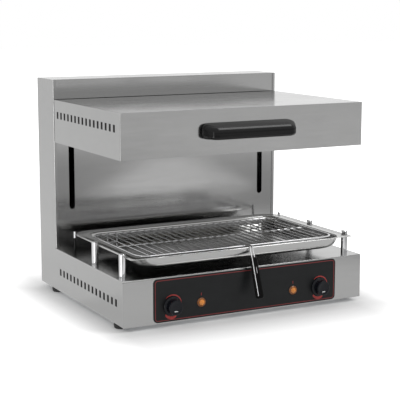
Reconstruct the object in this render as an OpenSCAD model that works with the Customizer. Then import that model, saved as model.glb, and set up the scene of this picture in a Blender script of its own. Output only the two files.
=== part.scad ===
// Salamander grill with a hood that rises and falls in front of a rear column.
// X is the width, -Y the cook's side, +Z up. The origin is under the middle of the whole outline.

/* [Cabinet] */
// Width of base, column and hood
body_w = 600; // [560:10:680]
// Depth from the front of the base to the back of the column
body_d = 486; // [470:2:540]
// Depth of the rear column
column_d = 101; // [98:1:120]
// Height of the base box
base_h = 100; // [95:1:120]
// Height of the column above the underside of the base
column_h = 497; // [490:1:560]
// Thickness of the cabinet sheet
sheet_t = 1.5; // [1.2:0.1:2]
// Depth of the deck below the rim of the base
deck_drop = 8; // [5:0.5:12]
// Width of the folded rim along the sides of the base
rim_w = 6; // [4:0.5:7]
// Width of the folded edge beside the column front
column_fold_w = 8; // [6:0.5:14]
// Outside radius of the sheet folds
fold_r = 3; // [2.2:0.1:4]

/* [Feet] */
// Height of the rubber feet below the base
foot_h = 10; // [6:0.5:20]
// Diameter of the rubber feet
foot_d = 34; // [24:1:50]
// Distance of the feet's axes from the sides, never less than a foot's radius
foot_side = 17; // [16:1:60]
// Distance of the front feet from the front
foot_front = 46; // [26:1:80]
// Distance of the rear feet from the front
foot_rear = 412; // [330:1:440]

/* [Vents] */
// Number of vent slots in each row
vent_count = 16; // [6:1:18]
// Distance between vent slots
vent_pitch = 21.4; // [16:0.1:21.4]
// Width of a vent slot
vent_w = 5; // [3:0.5:7]
// Length of a vent slot
vent_len = 15; // [10:0.5:20]
// Distance of the first vent slot from the front
vent_start = 34; // [30:1:40]
// Height of the base vents above the underside of the base
base_vent_z = 48; // [35:1:55]
// Height of the hood vents above the hood's lower edge
hood_vent_z = 64; // [60:1:70]

/* [Control panel] */
// Width of the black control panel
panel_w = 459; // [430:1:500]
// Margin of the control panel above and below
panel_margin = 2.5; // [1.5:0.5:8]
// Thickness of the control panel
panel_t = 1.5; // [1:0.1:3]
// Corner radius of the control panel
panel_r = 10; // [4:0.5:16]
// Distance of each knob from the middle
knob_x = 186; // [160:1:200]
// Height of knobs and lamps above the underside of the base
control_z = 36; // [32:1:50]
// Diameter of the knob skirt
knob_d = 42; // [34:1:48]
// Length of a knob from skirt to face
knob_len = 20; // [14:0.5:30]
// Diameter of the regulator shafts
shaft_d = 6; // [5:0.5:8]
// Distance of each pilot lamp from the middle
lamp_x = 116; // [80:1:130]
// Diameter of the pilot lamp bezels
lamp_d = 20; // [16:0.5:24]
// Diameter of the amber lenses
lens_d = 13.5; // [9:0.5:15]

/* [Rack posts and pan] */
// Diameter of the rack posts
post_d = 15; // [12:0.5:18]
// Height of the rack posts above the deck
post_h = 58.5; // [50:0.5:70]
// Distance of the posts' axes from the sides
post_side = 18; // [16:0.5:24]
// Distance of the front posts from the front
post_front = 41; // [30:1:60]
// Distance between the posts of one side
post_pitch = 148; // [110:1:180]
// Distance from the top of a post to the floor of its runner slot
slot_drop = 8; // [6.5:0.5:9]
// Height of the runner slots
slot_h = 5.4; // [2.4:0.2:5.8]
// Diameter of the rear stop pins' heads
stop_d = 6; // [5:0.5:10]
// Length of the rear stop pins' heads
stop_head = 15; // [9:0.5:24]
// Thickness of the pan sheet
pan_t = 1.2; // [0.8:0.1:1.6]
// Depth of the drip pan
pan_depth = 26; // [18:0.5:32]
// Width of the pan's runner flange at each side
wing_w = 26; // [20:0.5:40]
// Width of the runner engagement in the post slots
wing_bite = 4.5; // [3:0.5:5.5]
// Length of the pan from front to back
pan_len = 345; // [300:1:350]
// Width of the flange behind the tub
pan_shelf = 29; // [12:1:40]
// Radius of the flange's rear corners
wing_r = 51; // [30:1:60]
// Lean of the pan's walls, from the rim in to the floor
pan_draft = 9; // [4:0.5:10]
// Setback of the pan from the front of the base
pan_inset = 3; // [2:0.5:10]
// Radius of the pan's corners
pan_r = 32; // [20:1:45]

/* [Wire rack] */
// Diameter of the frame wire
rack_frame_d = 5; // [4:0.5:7]
// Diameter of the bars
rack_bar_d = 3.2; // [2.5:0.1:4]
// Distance between bars
rack_pitch = 18.5; // [14:0.5:26]
// Gap between the rack and the pan's wall
rack_gap = 3; // [2.5:0.5:8]
// Setback of the rack's front wire from the pan's front
rack_inset = 27; // [14:1:40]
// Setback of the rack's rear wire from the tub's rear
rack_rear = 20; // [19:1:40]

/* [Lifter handle] */
// Bay of the rack that the lifter hangs in, counted from the middle
lifter_bay = 0; // [-10:1:10]
// Diameter of the lifter wire
lifter_wire_d = 3; // [2:0.5:4]
// Distance between the two lifter wires
lifter_gauge = 6.5; // [5:0.5:9]
// Lean of the lifter from upright
lifter_lean = 20; // [10:1:30]
// Length of bare wire below the pan's rim
lifter_neck = 24; // [14:1:40]
// Length of the lifter grip
grip_len = 90; // [60:1:110]
// Width of the lifter grip at its foot
grip_w = 19; // [15:0.5:26]
// Thickness of the lifter grip
grip_t = 8; // [6:0.5:12]

/* [Hood] */
// Height of the hood
hood_h = 98; // [95:1:120]
// Setback of the hood from the front of the base
hood_setback = 5; // [2:0.5:12]
// Gap between the hood and the column
hood_gap = 8; // [6:0.5:14]
// Height of the column above the hood as drawn
hood_drop = 46; // [44:1:120]
// Height of the hood's lower edge above the base at its lowest
hood_low = 95; // [95:1:140]
// Thickness of the hood sheet
hood_t = 1.2; // [1:0.1:1.6]
// Width of the fold along the hood's lower edge
hood_lip = 16; // [12:1:24]
// Height of the reflector above the hood's lower edge
liner_h = 46; // [40:1:52]
// Travel of the hood above the drawn height
hood_rise = 8; // [4:1:8]

/* [Heating elements] */
// Diameter of the sheathed heating tubes
tube_d = 8; // [6:0.5:9]
// Distance between the runs of a heating tube
tube_pitch = 44; // [36:1:48]
// Height of the heating tubes above the hood's lower edge
tube_z = 18; // [14:0.5:22]

/* [Hood handle] */
// Width of the handle where it meets the hood
handle_w = 232; // [180:1:260]
// Width of the handle at its front
handle_front_w = 196; // [150:1:240]
// Reach of the handle from the hood
handle_reach = 40; // [34:1:60]
// Height of the handle
handle_h = 34; // [30:1:44]
// Height of the handle's underside above the hood's lower edge
handle_z = 35; // [28:1:40]
// Thickness of the handle's front wall
handle_wall = 9; // [7:0.5:12]

/* [Lift gear] */
// Distance of the guide rods and slots from the sides
slot_side = 44; // [40:1:60]
// Width of the slots in the column
slot_w = 14; // [12:0.5:18]
// Diameter of the guide rods
rod_d = 16; // [12:1:18]
// Outside diameter of the carriage bushes
bush_d = 22; // [20:0.5:24]
// Thickness of the hood arms
arm_t = 8; // [6:0.5:9]
// Height of the hood arms
arm_h = 56; // [50:1:60]
// Diameter of the gas strut cylinders
strut_d = 24; // [18:1:28]
// Diameter of the gas strut rods
strut_rod_d = 10; // [8:0.5:12]

/* [Fits] */
// Gap between pieces that move past each other
run_gap = 0.3; // [0.2:0.05:0.5]
// Radial clearance of shafts, rods and bushes
fit_gap = 0.05; // [0.02:0.01:0.1]

/* [Hidden] */
$fn = 48;

steel = [0.72, 0.72, 0.71];
dark_steel = [0.45, 0.45, 0.46];
chrome = [0.86, 0.87, 0.88];
black = [0.08, 0.08, 0.09];
rubber = [0.05, 0.05, 0.05];
brass = [0.78, 0.62, 0.33];
amber = [0.95, 0.55, 0.12];
zinc = [0.78, 0.78, 0.74];
wool = [0.86, 0.83, 0.72];
ceramic = [0.93, 0.91, 0.86];

eps = 0.01;
// Bends of a wire or tube are drawn this much thinner than its straight runs
bend_thin = 0.2;
half_w = body_w / 2;
foot_x = half_w - max(foot_side, foot_d / 2);
inner_x = half_w - sheet_t;
fold_x = half_w - fold_r;

// Heights
base_top = foot_h + base_h;
deck_z = base_top - deck_drop;
column_top = foot_h + column_h;
floor_z = foot_h + 2 * sheet_t;
post_top = deck_z + post_h;
runner_z = post_top - slot_drop;
wing_z = runner_z + run_gap;
rim_z = wing_z + pan_t;
pan_bottom = rim_z - pan_depth;
hood_lift = column_h - base_h - hood_h - hood_drop;
hood_z = base_top + hood_lift;
hood_top = hood_z + hood_h;

// Lifter, from the pan's rim down
lifter_r = lifter_wire_d / 2;
lifter_down = lifter_neck + grip_len;
lifter_bend_y = pan_inset - lifter_r - run_gap;
lifter_reach = lifter_down * sin(lifter_lean) - lifter_bend_y + grip_t / 2 * cos(lifter_lean);

// Depths: the outline runs from the lifter's foot to the end of the cable gland
gland_reach = 15;
front_y = (lifter_reach - body_d - gland_reach) / 2;
back_y = front_y + body_d;
column_y = back_y - column_d;
column_face_y = column_y + sheet_t;
front_rim = 14;

// Pan and rack
post_x = half_w - post_side;
wing_x = post_x - post_d / 2 + wing_bite;
pan_x = wing_x - wing_w;
pan_front = front_y + pan_inset;
pan_back = pan_front + pan_len;
pan_floor = pan_bottom + pan_t;
rack_x = pan_x - pan_t - rack_gap - rack_frame_d / 2;
rack_front = pan_front + rack_inset;
rack_back = pan_back - pan_shelf - rack_rear;
rack_frame_z = rim_z - rack_frame_d / 2;
rack_bar_z = rack_frame_z + 0.5;
rack_corner = pan_r - pan_t - rack_gap;
rack_count = floor((2 * rack_x - rack_pitch) / rack_pitch);
lifter_x = (lifter_bay + (rack_count % 2 == 0 ? 0 : 0.5)) * rack_pitch;
stop_reach = wing_r + stop_d / 2 + run_gap;
stop_x = wing_x - wing_r + stop_reach * cos(27);
stop_y = pan_back - wing_r + stop_reach * sin(27);
stop_top = post_top - 0.5;

// Hood
hood_front = front_y + hood_setback;
hood_back = column_y - hood_gap;
back_plate_t = 2;
liner_x = half_w - hood_t - 10;
liner_wall = 22;
liner_front = hood_front + hood_t + 2;
liner_back = hood_back - back_plate_t - 16;
liner_t = 1;
liner_seat = hood_z + hood_t;
liner_roof = hood_z + liner_h;
tube_y0 = liner_front + liner_wall + 22;
tube_y1 = liner_back - liner_wall - 16;
tube_runs = 6;
tube_span = (tube_runs - 1) * tube_pitch;
tube_mid_x = 20 + tube_span / 2;
strap_h = liner_roof - liner_t - (hood_z + tube_z - tube_d / 2);
strap_rows = [0.22, 0.78];

// Handle of the rack
lifter_gap = run_gap + lifter_r;
hook_r = rack_frame_d / 2 + lifter_gap;
lifter_top_z = rim_z + lifter_gap;
lifter_bend = [front_y + lifter_bend_y, lifter_top_z];
lifter_dir = [-sin(lifter_lean), -cos(lifter_lean)];

// Studs and screws
post_stud_d = 8;
stop_stud_d = 4;
foot_screw_d = 5;
foot_seat = foot_h + sheet_t;
under_fold = rim_w + 2;
foot_neck_r = min(foot_d / 2 - 4, half_w - foot_x - under_fold - 1);
// Offset of the runner slot's inner wall from the post's axis
wing_cut = wing_bite - post_d / 2 + 1;

// Lift gear
rod_x = half_w - slot_side;
rod_y = column_face_y + 44;
arm_z = hood_z + 7;
carriage_w = 36;
carriage_d = 40;
carriage_h = 76;
carriage_z = arm_z + arm_h / 2 - carriage_h / 2;
bracket_h = 14;
bracket_high = column_top - sheet_t - bracket_h - 8;
bracket_back = rod_y + rod_d / 2 + 6;
flange_t = 4;
flange_w = 50;
flange_h = 66;
crossbar_h = 24;
crossbar_d = 22;
crossbar_t = 2.5;
crossbar_z = carriage_z + carriage_h - crossbar_h;
strut_bore_floor = floor_z + 8;
hood_travel = min(hood_lift - hood_low, (crossbar_z - strut_bore_floor) / 2 - 16);
slot_bottom = arm_z - hood_travel - 11;
slot_top = arm_z + arm_h + hood_rise + 3;
bracket_low = slot_bottom - bracket_h - 16;
strut_x = body_w / 5;
strut_top = crossbar_z - hood_travel - 4;
strut_rod_end = strut_top - 12 - hood_rise - 1;

// Controls
knob_z = foot_h + control_z;
overlay_y = front_y - panel_t;
knob_skirt = 4;
knob_back = overlay_y - 0.6;
knob_face = knob_back - knob_len;
bush_thread_d = 9.6;
regulator_d = 34;
regulator_w = 44;
regulator_h = 40;
shaft_tip = knob_face + 5;
lamp_body_d = 10;
gland_x = half_w - 80;
gland_z = foot_h + 38;
gland_bore = 10;
gland_thread_d = 19;

// Points of an arc about c, from angle a to angle b
function arc_points(c, r, a, b, n = 6) =
    [for (i = [0 : n]) c + r * [cos(a + (b - a) * i / n), sin(a + (b - a) * i / n)]];

// A sheet fold seen from its end: one leg along +X, one along +Y, rounded outside and inside
module fold2d(leg_x, leg_y, t, r) {
    polygon(concat(
        leg_x > r ? [[leg_x, t], [leg_x, 0]] : [],
        arc_points([r, r], r, 270, 180),
        leg_y > r ? [[0, leg_y], [t, leg_y]] : [],
        arc_points([r, r], r - t, 180, 270)
    ));
}

// A rectangle with round corners, its lower left corner at the origin
module round_rect(w, h, r) {
    translate([r, 0]) square([w - 2 * r, h]);
    translate([0, r]) square([w, h - 2 * r]);
    for (x = [r, w - r], y = [r, h - r])
        translate([x, y]) circle(r);
}

// A slot with round ends, upright in the XY plane
module slot2d(w, len) {
    translate([-w / 2, -(len - w) / 2]) square([w, len - w]);
    for (s = [-1, 1])
        translate([0, s * (len - w) / 2]) circle(w / 2);
}

// A 2D shape in (y, z) extruded along +X from x
module along_x(x, len) {
    translate([x, 0, 0])
        rotate([90, 0, 90]) linear_extrude(len) children();
}

// A 2D shape in (x, z) extruded from y towards the back
module along_y(y, len) {
    translate([0, y + len, 0])
        rotate([90, 0, 0]) linear_extrude(len) children();
}

// A straight round bar between two points
module bar(a, b, d) {
    v = b - a;
    len = norm(v);
    translate(a)
        rotate([0, acos(v[2] / len), atan2(v[1], v[0])])
            cylinder(d = d, h = len, $fn = 24);
}

// The row of vent slots in (y, z), its middle height at z
module vent_row(y, z) {
    for (i = [0 : vent_count - 1])
        translate([y + vent_start + i * vent_pitch, z]) slot2d(vent_w, vent_len);
}

// ---------------------------------------------------------------- cabinet

// One L-shaped side with its folds, drawn for the +X side
module side_panel() {
    skin_x = half_w - sheet_t;
    rim_len = column_y + fold_r - front_y - front_rim;
    difference() {
        along_x(skin_x, sheet_t)
            difference() {
                union() {
                    translate([front_y + sheet_t, foot_h]) square([body_d - sheet_t, base_h]);
                    translate([column_y, foot_h]) square([column_d, column_h]);
                }
                vent_row(front_y, foot_h + base_vent_z);
            }
        // Room for the rounded outside of the three folds
        along_y(front_y + front_rim, rim_len)
            translate([half_w - fold_r, base_top - fold_r]) square(fold_r + 1);
        translate([half_w - fold_r, column_y - 1, base_top])
            cube([fold_r + 1, fold_r + 1, column_h]);
        along_y(front_y + sheet_t - 1, body_d + 2)
            translate([half_w - fold_r, foot_h - 1]) square(fold_r + 1);
    }
    // Rim along the top of the base
    along_y(front_y + front_rim, rim_len)
        translate([half_w, base_top]) rotate(180) fold2d(rim_w, fold_r, sheet_t, fold_r);
    // Folded edge beside the column front
    translate([half_w, column_y, base_top])
        linear_extrude(column_h - base_h) mirror([1, 0]) fold2d(column_fold_w, fold_r, sheet_t, fold_r);
    // Fold under the base that the floor rests on
    along_y(front_y + sheet_t, body_d - 2 * sheet_t)
        translate([half_w, foot_h]) mirror([1, 0]) fold2d(under_fold, fold_r, sheet_t, fold_r);
}

module side_panel_right() {
    color(steel) side_panel();
}

module side_panel_left() {
    color(steel) mirror([1, 0, 0]) side_panel();
}

// Front of the base: face, rounded top fold and the holes of the controls
module base_front_panel() {
    color(steel) difference() {
        union() {
            translate([-half_w, front_y, foot_h]) cube([body_w, sheet_t, base_h - fold_r]);
            along_x(-inner_x, 2 * inner_x)
                translate([front_y, base_top]) mirror([0, 1]) fold2d(front_rim, fold_r, sheet_t, fold_r);
        }
        for (s = [-1, 1]) {
            translate([s * knob_x, front_y - 1, knob_z])
                rotate([-90, 0, 0]) cylinder(d = bush_thread_d + 0.4, h = sheet_t + 2);
            translate([s * lamp_x, front_y - 1, knob_z])
                rotate([-90, 0, 0]) cylinder(d = lamp_body_d + 0.4, h = sheet_t + 2);
        }
    }
}

// Deck under the pan, with edges turned down and holes for the posts' studs
module base_deck() {
    deck_y = front_y + sheet_t;
    deck_len = column_face_y - deck_y;
    edge_h = 14;
    color(steel) difference() {
        union() {
            translate([-inner_x, deck_y, deck_z - sheet_t]) cube([2 * inner_x, deck_len, sheet_t]);
            for (s = [0, 1])
                mirror([s, 0, 0])
                    translate([inner_x - sheet_t, deck_y, deck_z - edge_h])
                        cube([sheet_t, column_y - deck_y, edge_h - sheet_t]);
            translate([-inner_x + sheet_t, deck_y, deck_z - edge_h])
                cube([2 * (inner_x - sheet_t), sheet_t, edge_h - sheet_t]);
        }
        for (s = [-1, 1]) {
            for (i = [0, 1])
                translate([s * post_x, front_y + post_front + i * post_pitch, deck_z - sheet_t - 1])
                    cylinder(d = post_stud_d + 0.4, h = sheet_t + 2);
            translate([s * stop_x, stop_y, deck_z - sheet_t - 1])
                cylinder(d = stop_stud_d + 0.4, h = sheet_t + 2);
        }
    }
}

// Floor of the base with two rows of air slots
module bottom_plate() {
    color(dark_steel) difference() {
        translate([-fold_x, front_y + sheet_t, foot_h + sheet_t])
            cube([2 * fold_x, body_d - 2 * sheet_t, sheet_t]);
        for (s = [-1, 1], i = [0 : 7])
            translate([s * body_w * 0.235, front_y + body_d * (0.25 + 0.05 * i), foot_h + sheet_t - 1])
                linear_extrude(sheet_t + 2) rotate(90) slot2d(vent_w, 70);
        foot_places() translate([0, 0, foot_h]) cylinder(d = foot_screw_d + 0.4, h = 4 * sheet_t);
    }
}

// Front of the column with the two slots that the hood's arms run in
module column_front_panel() {
    color(steel) difference() {
        translate([-fold_x, column_face_y, deck_z - sheet_t])
            cube([2 * fold_x, sheet_t, column_top - sheet_t - deck_z + sheet_t]);
        for (s = [-1, 1])
            along_y(column_face_y - 1, sheet_t + 2)
                translate([s * rod_x, (slot_bottom + slot_top) / 2]) slot2d(slot_w, slot_top - slot_bottom);
    }
}

// Lid of the column with a fold down over the back cover
module column_top_cap() {
    color(steel) {
        translate([-inner_x, column_y + sheet_t, column_top - sheet_t])
            cube([2 * inner_x, column_d - sheet_t - fold_r, sheet_t]);
        translate([-inner_x + column_fold_w - sheet_t, column_y, column_top - sheet_t])
            cube([2 * (inner_x - column_fold_w + sheet_t), sheet_t, sheet_t]);
        along_x(-inner_x, 2 * inner_x)
            translate([back_y, column_top]) rotate(180) fold2d(fold_r, 16, sheet_t, fold_r);
    }
}

// Sheet that closes the back, with air slots high and low
module back_cover() {
    cover_y = back_y - sheet_t;
    cover_top = column_top - 16;
    color(steel) difference() {
        translate([-inner_x, cover_y, foot_h])
            cube([2 * inner_x, sheet_t, cover_top - foot_h]);
        for (row = [0, 1], i = [0 : 15])
            along_y(cover_y - 1, sheet_t + 2)
                translate([(i - 7.5) * body_w / 30, foot_h + column_h * (0.2 + 0.58 * row)]) slot2d(vent_w, 40);
        cover_screw_places() rotate([90, 0, 0]) cylinder(d = 3.4, h = 4 * sheet_t, center = true);
        translate([gland_x, cover_y - 1, gland_z])
            rotate([-90, 0, 0]) cylinder(d = gland_thread_d + 0.4, h = sheet_t + 2);
    }
}

module cover_screw_places() {
    for (s = [-1, 1], z = [foot_h + 24, foot_h + column_h / 3, foot_h + column_h * 0.64, column_top - 34])
        translate([s * (inner_x - 8), back_y, z]) children();
}

// Pan-head screws of the back cover
module back_cover_screws() {
    color(zinc) cover_screw_places()
        rotate([90, 0, 0]) {
            translate([0, 0, -2]) cylinder(d1 = 4.5, d2 = 6.5, h = 2, $fn = 24);
            cylinder(d = 3, h = 8, $fn = 24);
        }
}

module foot_places() {
    for (s = [-1, 1], y = [foot_front, foot_rear])
        translate([s * foot_x, front_y + y, 0]) children();
}

// Rubber feet, waisted under the floor, with a recess for the screw's head
module feet() {
    color(rubber) foot_places()
        rotate_extrude()
            polygon([
                [foot_screw_d / 2, 4], [foot_screw_d, 4], [foot_screw_d, 0], [foot_d / 2 - 2.5, 0],
                [foot_d / 2 - 1, 1.5], [foot_d / 2, foot_h - 2], [foot_d / 2 - 0.5, foot_h - 0.5],
                [foot_neck_r, foot_h - 0.5],
                [foot_neck_r, foot_seat], [foot_screw_d / 2, foot_seat]
            ]);
}

module foot_screws() {
    color(zinc) foot_places() {
        translate([0, 0, 4 - 2.6]) cylinder(d = 2 * foot_screw_d - 1.4, h = 2.6, $fn = 24);
        translate([0, 0, 4 - eps]) cylinder(d = foot_screw_d, h = foot_seat + 4, $fn = 24);
    }
}

// ---------------------------------------------------------------- controls

// Black glass-like panel with rounded corners in front of the base
module control_panel() {
    panel_h = base_h - 2 * panel_margin;
    color(black) difference() {
        along_y(overlay_y, panel_t)
            translate([-panel_w / 2, foot_h + panel_margin]) round_rect(panel_w, panel_h, panel_r);
        for (s = [-1, 1]) {
            translate([s * knob_x, overlay_y - 1, knob_z])
                rotate([-90, 0, 0]) cylinder(d = bush_thread_d + 0.4, h = panel_t + 2);
            translate([s * lamp_x, overlay_y - 1, knob_z])
                rotate([-90, 0, 0]) cylinder(d = lamp_body_d + 0.4, h = panel_t + 2);
        }
    }
}

// Bezel, barrel and back nut of each pilot lamp
module pilot_lamp_bodies() {
    color(black) for (s = [-1, 1])
        translate([s * lamp_x, overlay_y, knob_z]) rotate([90, 0, 0]) {
            rotate_extrude()
                polygon([
                    [lens_d / 2 + fit_gap, 0], [lamp_d / 2, 0], [lamp_d / 2, 1.2],
                    [lamp_d / 2 - 1.4, 3], [lens_d / 2 + fit_gap, 3]
                ]);
            translate([0, 0, -28]) cylinder(d = lamp_body_d, h = 28 - 1);
            translate([0, 0, -1 - eps]) cylinder(d = lamp_body_d, h = 1 + eps);
            cylinder(d = lens_d + 2 * fit_gap + 1, h = 0.4);
            translate([0, 0, -panel_t - sheet_t - 4]) cylinder(d = 15, h = 4, $fn = 6);
        }
}

// Amber domes
module pilot_lamp_lenses() {
    color(amber) for (s = [-1, 1])
        translate([s * lamp_x, overlay_y - 0.4, knob_z]) rotate([90, 0, 0]) {
            cylinder(d = lens_d, h = 2.8);
            translate([0, 0, 2.8])
                intersection() {
                    scale_dome = lens_d / 2;
                    translate([0, 0, -scale_dome * 0.5]) sphere(scale_dome * 1.118);
                    cylinder(d = lens_d, h = lens_d);
                }
        }
}

// Switch bodies behind the panel, each with a threaded neck and a shaft bore
module energy_regulators() {
    body_y = front_y + sheet_t;
    color(dark_steel) for (s = [-1, 1])
        translate([s * knob_x, body_y, knob_z]) difference() {
            union() {
                translate([-regulator_w / 2, 0, -regulator_h / 2])
                    cube([regulator_w, regulator_d, regulator_h]);
                rotate([90, 0, 0]) cylinder(d = bush_thread_d, h = sheet_t + panel_t);
                for (x = [-14, 0, 14], z = [-12, 12])
                    translate([x - 3, regulator_d, z - 0.4]) cube([6, 9, 0.8]);
            }
            rotate([90, 0, 0]) translate([0, 0, -18])
                cylinder(d = shaft_d + 2 * fit_gap, h = 40);
        }
}

module regulator_shaft(s) {
    shaft_y = front_y + sheet_t + 16;
    color(zinc) translate([s * knob_x, shaft_y, knob_z])
        rotate([90, 0, 0]) cylinder(d = shaft_d, h = shaft_y - shaft_tip);
}

module regulator_shaft_left() {
    regulator_shaft(-1);
}

module regulator_shaft_right() {
    regulator_shaft(1);
}

// Knob: skirt, fluted drum and a raised pointer rib on its face
module knob(s) {
    drum_d = knob_d - 8;
    flutes = 18;
    color(black) translate([s * knob_x, knob_back, knob_z]) rotate([90, 0, 0])
        difference() {
            union() {
                cylinder(d = knob_d, h = knob_skirt - 1);
                translate([0, 0, knob_skirt - 1]) cylinder(d1 = knob_d, d2 = knob_d - 2, h = 1);
                cylinder(d = drum_d, h = knob_len - 1.5);
                translate([0, 0, knob_len - 1.5]) cylinder(d1 = drum_d, d2 = drum_d - 3, h = 1.5);
            }
            for (i = [0 : flutes - 1])
                rotate(i * 360 / flutes)
                    translate([drum_d / 2 + 0.9, 0, knob_skirt + 1])
                        cylinder(d = 3.4, h = knob_len, $fn = 16);
            translate([0, 0, -1]) cylinder(d = shaft_d + 2 * fit_gap, h = knob_len - 5 + 1 + fit_gap);
            difference() {
                translate([0, 0, -1]) cylinder(d = drum_d - 5, h = 9);
                translate([0, 0, -2]) cylinder(d = shaft_d + 7, h = 12);
            }
        }
}

module knob_left() {
    knob(-1);
}

module knob_right() {
    knob(1);
}

// Mains terminals on the floor beside the cable gland
module terminal_block() {
    color(ceramic) translate([gland_x - 40, back_y - 80, floor_z]) difference() {
        cube([80, 26, 22]);
        for (i = [0 : 4]) {
            translate([8 + i * 16, 13, 8]) cylinder(d = 6, h = 20);
            translate([8 + i * 16, -1, 7]) rotate([-90, 0, 0]) cylinder(d = 5, h = 40);
        }
    }
}

// Cable gland through the back cover, its bore ready for a lead
module cable_gland() {
    color(rubber) translate([gland_x, back_y, gland_z]) difference() {
        union() {
            rotate([-90, 0, 0]) cylinder(d = 26, h = 6, $fn = 6);
            translate([0, 6, 0]) rotate([-90, 0, 0]) cylinder(d1 = 22, d2 = 17, h = gland_reach - 6);
            rotate([90, 0, 0]) cylinder(d = gland_thread_d, h = 12);
        }
        translate([0, -20, 0]) rotate([-90, 0, 0]) cylinder(d = gland_bore, h = 60);
    }
}

module gland_nut() {
    color(rubber) translate([gland_x, back_y - sheet_t, gland_z]) rotate([90, 0, 0]) difference() {
        cylinder(d = 26, h = 5, $fn = 6);
        translate([0, 0, -1]) cylinder(d = gland_thread_d + 2 * fit_gap, h = 8);
    }
}

// ---------------------------------------------------------------- rack posts

// One turned post: foot, groove, shank, head and the runner slot on its inner side
module post(s) {
    groove_z = 8;
    difference() {
        rotate_extrude()
            polygon([
                [0, -sheet_t - 12], [post_stud_d / 2, -sheet_t - 12], [post_stud_d / 2, 0],
                [post_d / 2 - 1, 0], [post_d / 2 - 0.5, 0.5], [post_d / 2 - 0.5, groove_z - 1],
                [post_d / 2 - 1.4, groove_z - 1], [post_d / 2 - 1.4, groove_z + 0.8],
                [post_d / 2, groove_z + 0.8], [post_d / 2, post_h - 1], [post_d / 2 - 1, post_h], [0, post_h]
            ]);
        translate([s > 0 ? -post_d : -wing_cut, -post_d, post_h - slot_drop])
            cube([post_d + wing_cut, 2 * post_d, slot_h]);
    }
}

module rack_posts() {
    color(chrome) for (s = [-1, 1], i = [0, 1])
        translate([s * post_x, front_y + post_front + i * post_pitch, deck_z]) post(s);
}

// Thin pins with thicker heads behind the pan's rounded rear corners
module stop_pins() {
    color(chrome) for (s = [-1, 1])
        translate([s * stop_x, stop_y, 0]) {
            translate([0, 0, deck_z - sheet_t - 9])
                cylinder(d = stop_stud_d, h = stop_top - stop_head - deck_z + sheet_t + 9 + eps);
            translate([0, 0, deck_z]) cylinder(d = stop_stud_d + 3, h = 2);
            translate([0, 0, stop_top - stop_head]) cylinder(d = stop_d, h = stop_head - 1);
            translate([0, 0, stop_top - 1 - eps]) cylinder(d1 = stop_d, d2 = stop_d - 2, h = 1 + eps);
        }
}

// Nuts under the deck that hold posts and pins
module post_nuts() {
    color(zinc) for (s = [-1, 1]) {
        for (i = [0, 1])
            translate([s * post_x, front_y + post_front + i * post_pitch, deck_z - sheet_t - 6])
                difference() {
                    cylinder(d = 14, h = 6, $fn = 6);
                    translate([0, 0, -1]) cylinder(d = post_stud_d + 2 * fit_gap, h = 8);
                }
        translate([s * stop_x, stop_y, deck_z - sheet_t - 3.5])
            difference() {
                cylinder(d = 8, h = 3.5, $fn = 6);
                translate([0, 0, -1]) cylinder(d = stop_stud_d + 2 * fit_gap, h = 6);
            }
    }
}

// ---------------------------------------------------------------- lift gear

module guide_rods() {
    color(chrome) for (s = [-1, 1])
        translate([s * rod_x, rod_y, bracket_low]) cylinder(d = rod_d, h = bracket_high + bracket_h - bracket_low);
}

// Blocks behind the column front that clamp the rods' ends
module rod_brackets() {
    color(dark_steel) for (s = [-1, 1], z = [bracket_low, bracket_high])
        translate([s * rod_x, column_face_y + sheet_t, z]) difference() {
            translate([-(rod_d + 14) / 2, 0, 0])
                cube([rod_d + 14, bracket_back - column_face_y - sheet_t, bracket_h]);
            translate([0, rod_y - column_face_y - sheet_t, -1])
                cylinder(d = rod_d + 2 * fit_gap, h = bracket_h + 2);
        }
}

// Gas strut cylinders standing on the floor of the base
module strut_cylinders() {
    color(black) for (s = [-1, 1])
        translate([s * strut_x, rod_y, 0]) difference() {
            union() {
                translate([0, 0, floor_z]) cylinder(d = strut_d, h = strut_top - floor_z);
                translate([0, 0, floor_z]) cylinder(d = strut_d + 12, h = 3);
            }
            translate([0, 0, strut_bore_floor])
                cylinder(d = strut_d - 4, h = strut_top - strut_bore_floor - 12);
            translate([0, 0, strut_bore_floor])
                cylinder(d = strut_rod_d + 2 * fit_gap, h = strut_top);
        }
}

// Polished strut rods, each with its piston, hung from the crossbar
module strut_rods() {
    color(chrome) for (s = [-1, 1])
        translate([s * strut_x, rod_y, 0]) {
            translate([0, 0, strut_rod_end])
                cylinder(d = strut_rod_d, h = crossbar_z - strut_rod_end);
            translate([0, 0, strut_rod_end - 6])
                cylinder(d = strut_d - 4 - 2 * fit_gap, h = 6 + eps);
        }
}

// Flanged arms from the hood's back plate through the slots to the carriages
module hood_arms() {
    arm_front = hood_back + flange_t;
    color(dark_steel) for (s = [-1, 1])
        translate([s * rod_x, 0, 0]) difference() {
            union() {
                translate([-flange_w / 2, hood_back, arm_z + arm_h / 2 - flange_h / 2])
                    cube([flange_w, flange_t, flange_h]);
                translate([-arm_t / 2, arm_front, arm_z])
                    cube([arm_t, rod_y - carriage_d / 2 - arm_front, arm_h]);
            }
            arm_bolt_places() rotate([90, 0, 0]) cylinder(d = 6.4, h = 40, center = true);
        }
}

module arm_bolt_places() {
    for (x = [-16, 16], z = [-4, 24])
        translate([x, hood_back, arm_z + arm_h / 2 + z]) children();
}

module arm_bolts() {
    color(zinc) for (s = [-1, 1])
        translate([s * rod_x, 0, 0]) arm_bolt_places() {
            translate([0, flange_t, 0]) rotate([90, 0, 0]) cylinder(d = 6, h = flange_t + back_plate_t + 8);
            translate([0, flange_t, 0]) rotate([-90, 0, 0]) cylinder(d = 9, h = 2.6, $fn = 24);
            translate([0, -back_plate_t, 0]) rotate([90, 0, 0]) cylinder(d = 10, h = 5, $fn = 6);
        }
}

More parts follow.
